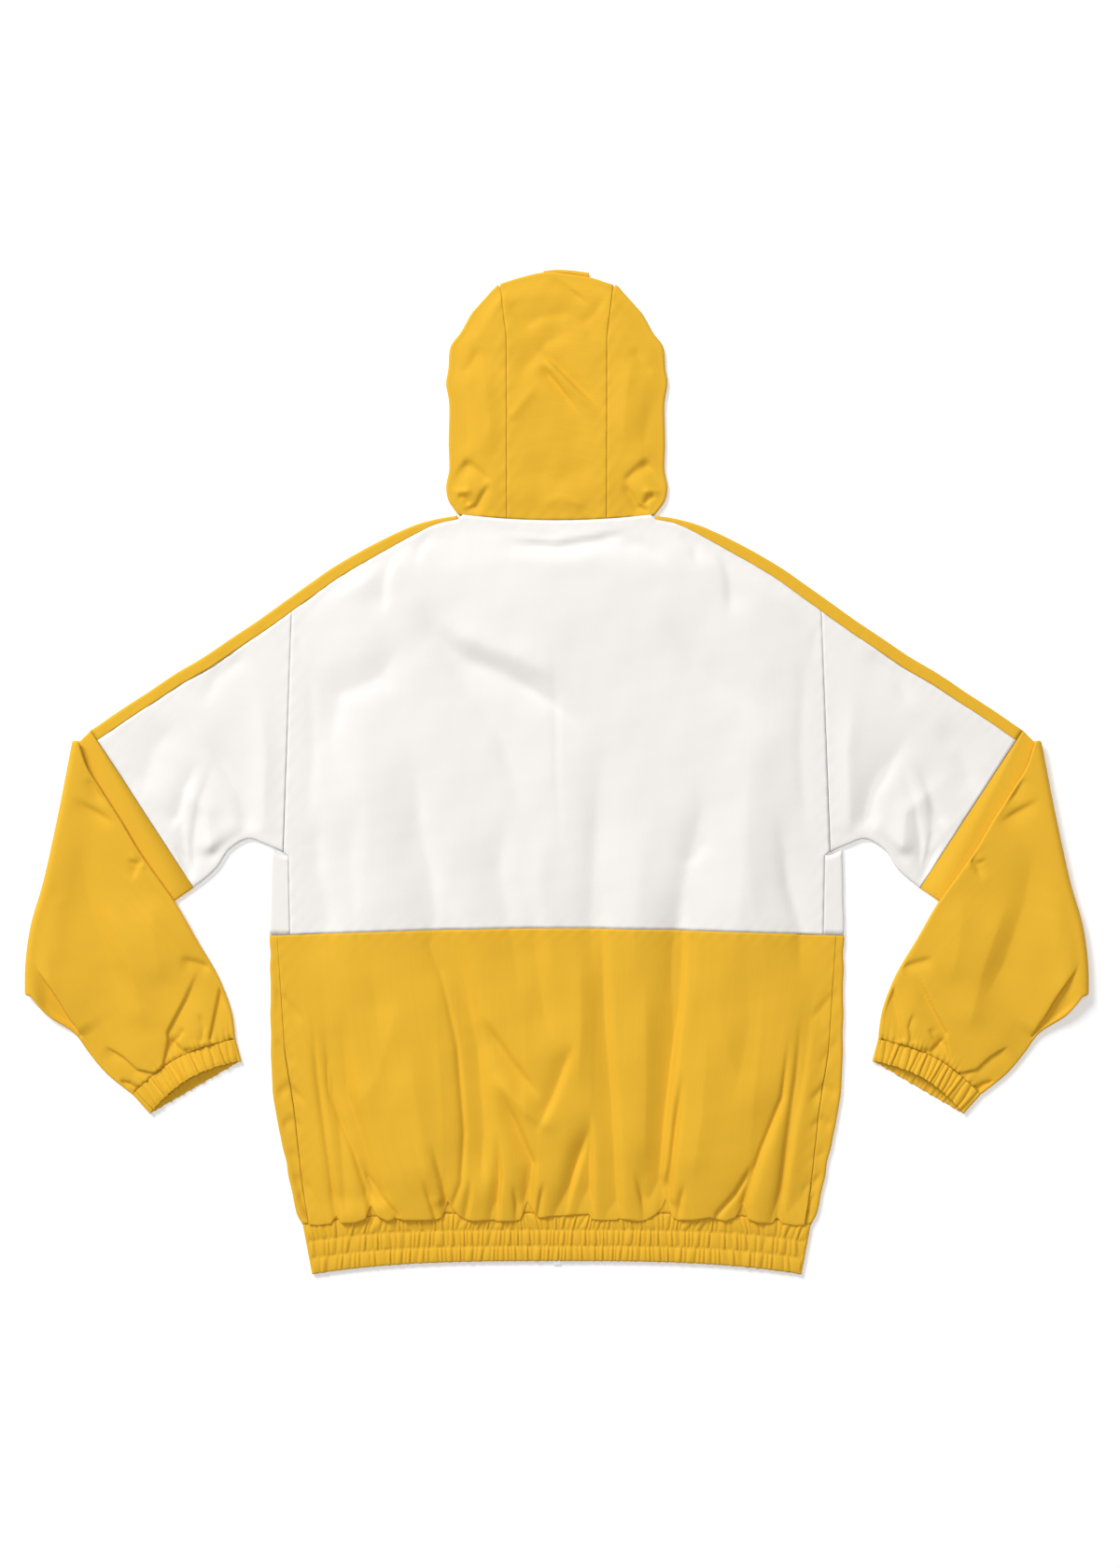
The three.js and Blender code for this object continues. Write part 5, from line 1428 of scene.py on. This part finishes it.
def hood_hem():
    x = np.linspace(HOOD_HEM["x"][0], HOOD_HEM["x"][-1], 40)
    low = flowing(x, HOOD_HEM["x"], HOOD_HEM["low"])
    top = flowing(x, HOOD_HEM["x"], HOOD_HEM["top"])
    width = np.linspace(0, 1, 7)[None, :]
    height = 1.2 + 0.5 * np.sin(math.pi * width) + 0 * x[:, None]
    y = mix(low[:, None], top[:, None], width)
    return np.stack([np.broadcast_to(x[:, None], y.shape), y, height], -1)


for name, side in SIDES:
    cloth_piece(f"hood_side_{name}", hood_side(side), "yellow")
cloth_piece("hood_hem", hood_hem(), "yellow")

# %% [markdown]
# ## The zip
# The zip is on the underside. A coil zip is two tapes with a nylon spiral sewn to the edge of
# each, and what one sees of a spiral is a row of short bars. The bars of the two sides mesh, so
# they are placed half a pitch apart.

# %% Zip tape and coil
ZIP = {"half": 14.0, "low": 1.75, "top": 175.0, "bottom": -479.0}
RIB = {"pitch": 1.9, "rise": 0.05}
COIL = {"pitch": 2.2, "reach": 2.7, "overlap": 0.5, "low": 0.85, "high": 2.6, "thick": 0.42}
BAR_SHAPE = ((0, 0.6), (0.2, 1), (0.8, 1), (1, 0.6))  # places along a bar, and its thickness there


def zip_tape():
    """Both tapes, as one ribbed strip that follows the rise at the slider."""
    y = np.linspace(ZIP["bottom"], ZIP["top"], 120)[:, None]
    x = np.linspace(-ZIP["half"], ZIP["half"], 33)[None, :]
    rib = RIB["rise"] * np.sin(2 * math.pi * x / RIB["pitch"])
    z = ZIP["low"] + rib + ZIP_LIFT["front"] * zip_lift(0 * x, y)
    return np.stack([x + 0 * y, y + 0 * x, z], -1)


def zip_coil():
    """The meshed bars of both coils."""
    count = int((ZIP["top"] - ZIP["bottom"]) / COIL["pitch"])
    corners = []
    for k in range(2 * count):
        side = 1 if k % 2 else -1
        y = ZIP["bottom"] + (k + 0.5) * COIL["pitch"] / 2
        lift = ZIP_LIFT["front"] * float(zip_lift(0.0, y))
        inner, outer = -side * COIL["overlap"], side * COIL["reach"]
        for share, slim in BAR_SHAPE:
            x = mix(inner, outer, share)
            half = COIL["thick"] * slim
            middle = (COIL["low"] + COIL["high"]) / 2 + lift
            tall = (COIL["high"] - COIL["low"]) / 2 * slim
            ring = [(half, 0), (half * 0.7, tall * 0.7), (0, tall), (-half * 0.7, tall * 0.7)]
            ring += [(-dy, -dz) for dy, dz in ring]
            corners.append([(x, y + dy, middle + dz) for dy, dz in ring])
    return np.array(corners).reshape(2 * count, 4, 8, 3)


TAPE = cloth_material("zip_tape", (0.80, 0.44, 0.03, 1), (0.70, 0.37, 0.02, 1), 0.1)
NYLON = nylon_material("zip_nylon", (0.78, 0.42, 0.03, 1))
tape = dress(shell("zip_tape", zip_tape()), "zip_chain", TAPE, "zip_tape")
dress(bars_mesh("zip_coil", zip_coil()), "zip_chain", NYLON, "zip_tape")


# %% Metal of the slider, its pull and the box
def metal_material():
    """Satin plating with fine scratches and a duller film between them."""
    material, shader, wire = new_material("zip_metal")
    place = wire.node("ShaderNodeTexCoord", output=3)
    scratches = wire.node("ShaderNodeMapping", (), {"Vector": place, "Scale": (900, 60, 900)})
    fine = wire.node("ShaderNodeTexNoise", (), {"Vector": scratches, "Scale": 1.0, "Detail": 2.0})
    film = wire.node("ShaderNodeTexNoise", (), {"Vector": place, "Scale": 160.0, "Detail": 3.0})
    tone = blended(wire, film, (0.74, 0.75, 0.77, 1), (0.60, 0.61, 0.64, 1))
    tone.feeds(shader, "Base Color")
    (0.24 + 0.12 * fine + 0.1 * film).feeds(shader, "Roughness")
    bump = wire.node("ShaderNodeBump", (), {"Strength": 0.1, "Distance": 0.0001, "Height": fine})
    bump.feeds(shader, "Normal")
    set_shader(shader, {"Metallic": 0.9})
    return material


METAL = metal_material()
for node in ("zip_slider", "zip_pull", "zip_box"):
    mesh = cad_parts[node].data
    mesh.materials.clear()
    mesh.materials.append(METAL)
    print(node, "is in plated metal")

# %% [markdown]
# ## Camera, light and floor
# The picture is taken straight down from well above, with wide soft light. The floor is white
# and bright. A big lamp towards the hood gives the folds their shaded lower flanks, and the sky
# fills the rest.

# %% Camera
PICTURE = {"width": 1200, "height": 1680, "mm_per_pixel": 0.92}
CAMERA = {"height": 2.6, "x": 0.0032, "y": -0.012}


def make_camera():
    camera = bpy.data.cameras.new("camera")
    camera.sensor_width = 36
    tall = PICTURE["height"] * PICTURE["mm_per_pixel"] * MM
    camera.lens = camera.sensor_width * (CAMERA["height"] - LAID * MM) / tall
    holder = placed("camera", camera)
    holder.location = (CAMERA["x"], CAMERA["y"], CAMERA["height"])
    bpy.context.scene.camera = holder
    print("lens", round(camera.lens, 1), "mm")


make_camera()


# %% Light and floor
def area_lamp(name, place, size, watts):
    """A soft square lamp that looks at the middle of the floor."""
    lamp = bpy.data.lights.new(name, "AREA")
    lamp.size, lamp.energy = size, watts
    holder = placed(name, lamp)
    holder.location = place
    holder.rotation_euler = holder.location.to_track_quat("Z", "Y").to_euler()
    print(name, "gives", watts, "W")


FLOOR = {"half": 6000.0, "below": 0.2}  # a little below the cloth, so that the two never touch
FLOOR_PAINT = {
    "Base Color": (0.97, 0.97, 0.97, 1), "Roughness": 0.9,
    "Emission Color": (1, 1, 1, 1), "Emission Strength": 0.15,
}


def make_floor():
    corners = np.array([[-1, -1, 0], [1, -1, 0], [1, 1, 0], [-1, 1, 0]]) * FLOOR["half"]
    mesh = mesh_of("floor", corners - [0, 0, FLOOR["below"]], np.array([[0, 1, 2, 3]]))
    floor = placed("floor", mesh)
    material, shader, _ = new_material("floor")
    set_shader(shader, FLOOR_PAINT)
    mesh.materials.append(material)


def make_sky(strength):
    world = bpy.context.scene.world or bpy.data.worlds.new("sky")
    bpy.context.scene.world = world
    world.use_nodes = True
    sky = world.node_tree.nodes["Background"]
    sky.inputs["Color"].default_value = (1, 1, 1, 1)
    sky.inputs["Strength"].default_value = strength


SKY = 0.24
LAMPS = (
    ("overhead", (0.0, 0.3, 5.0), 2.4, 84),
    ("window", (-3.9, 4.9, 4.6), 2.8, 505),
)
make_floor()
make_sky(SKY)
for lamp in LAMPS:
    area_lamp(*lamp)
bpy.context.scene.view_settings.view_transform = "Standard"
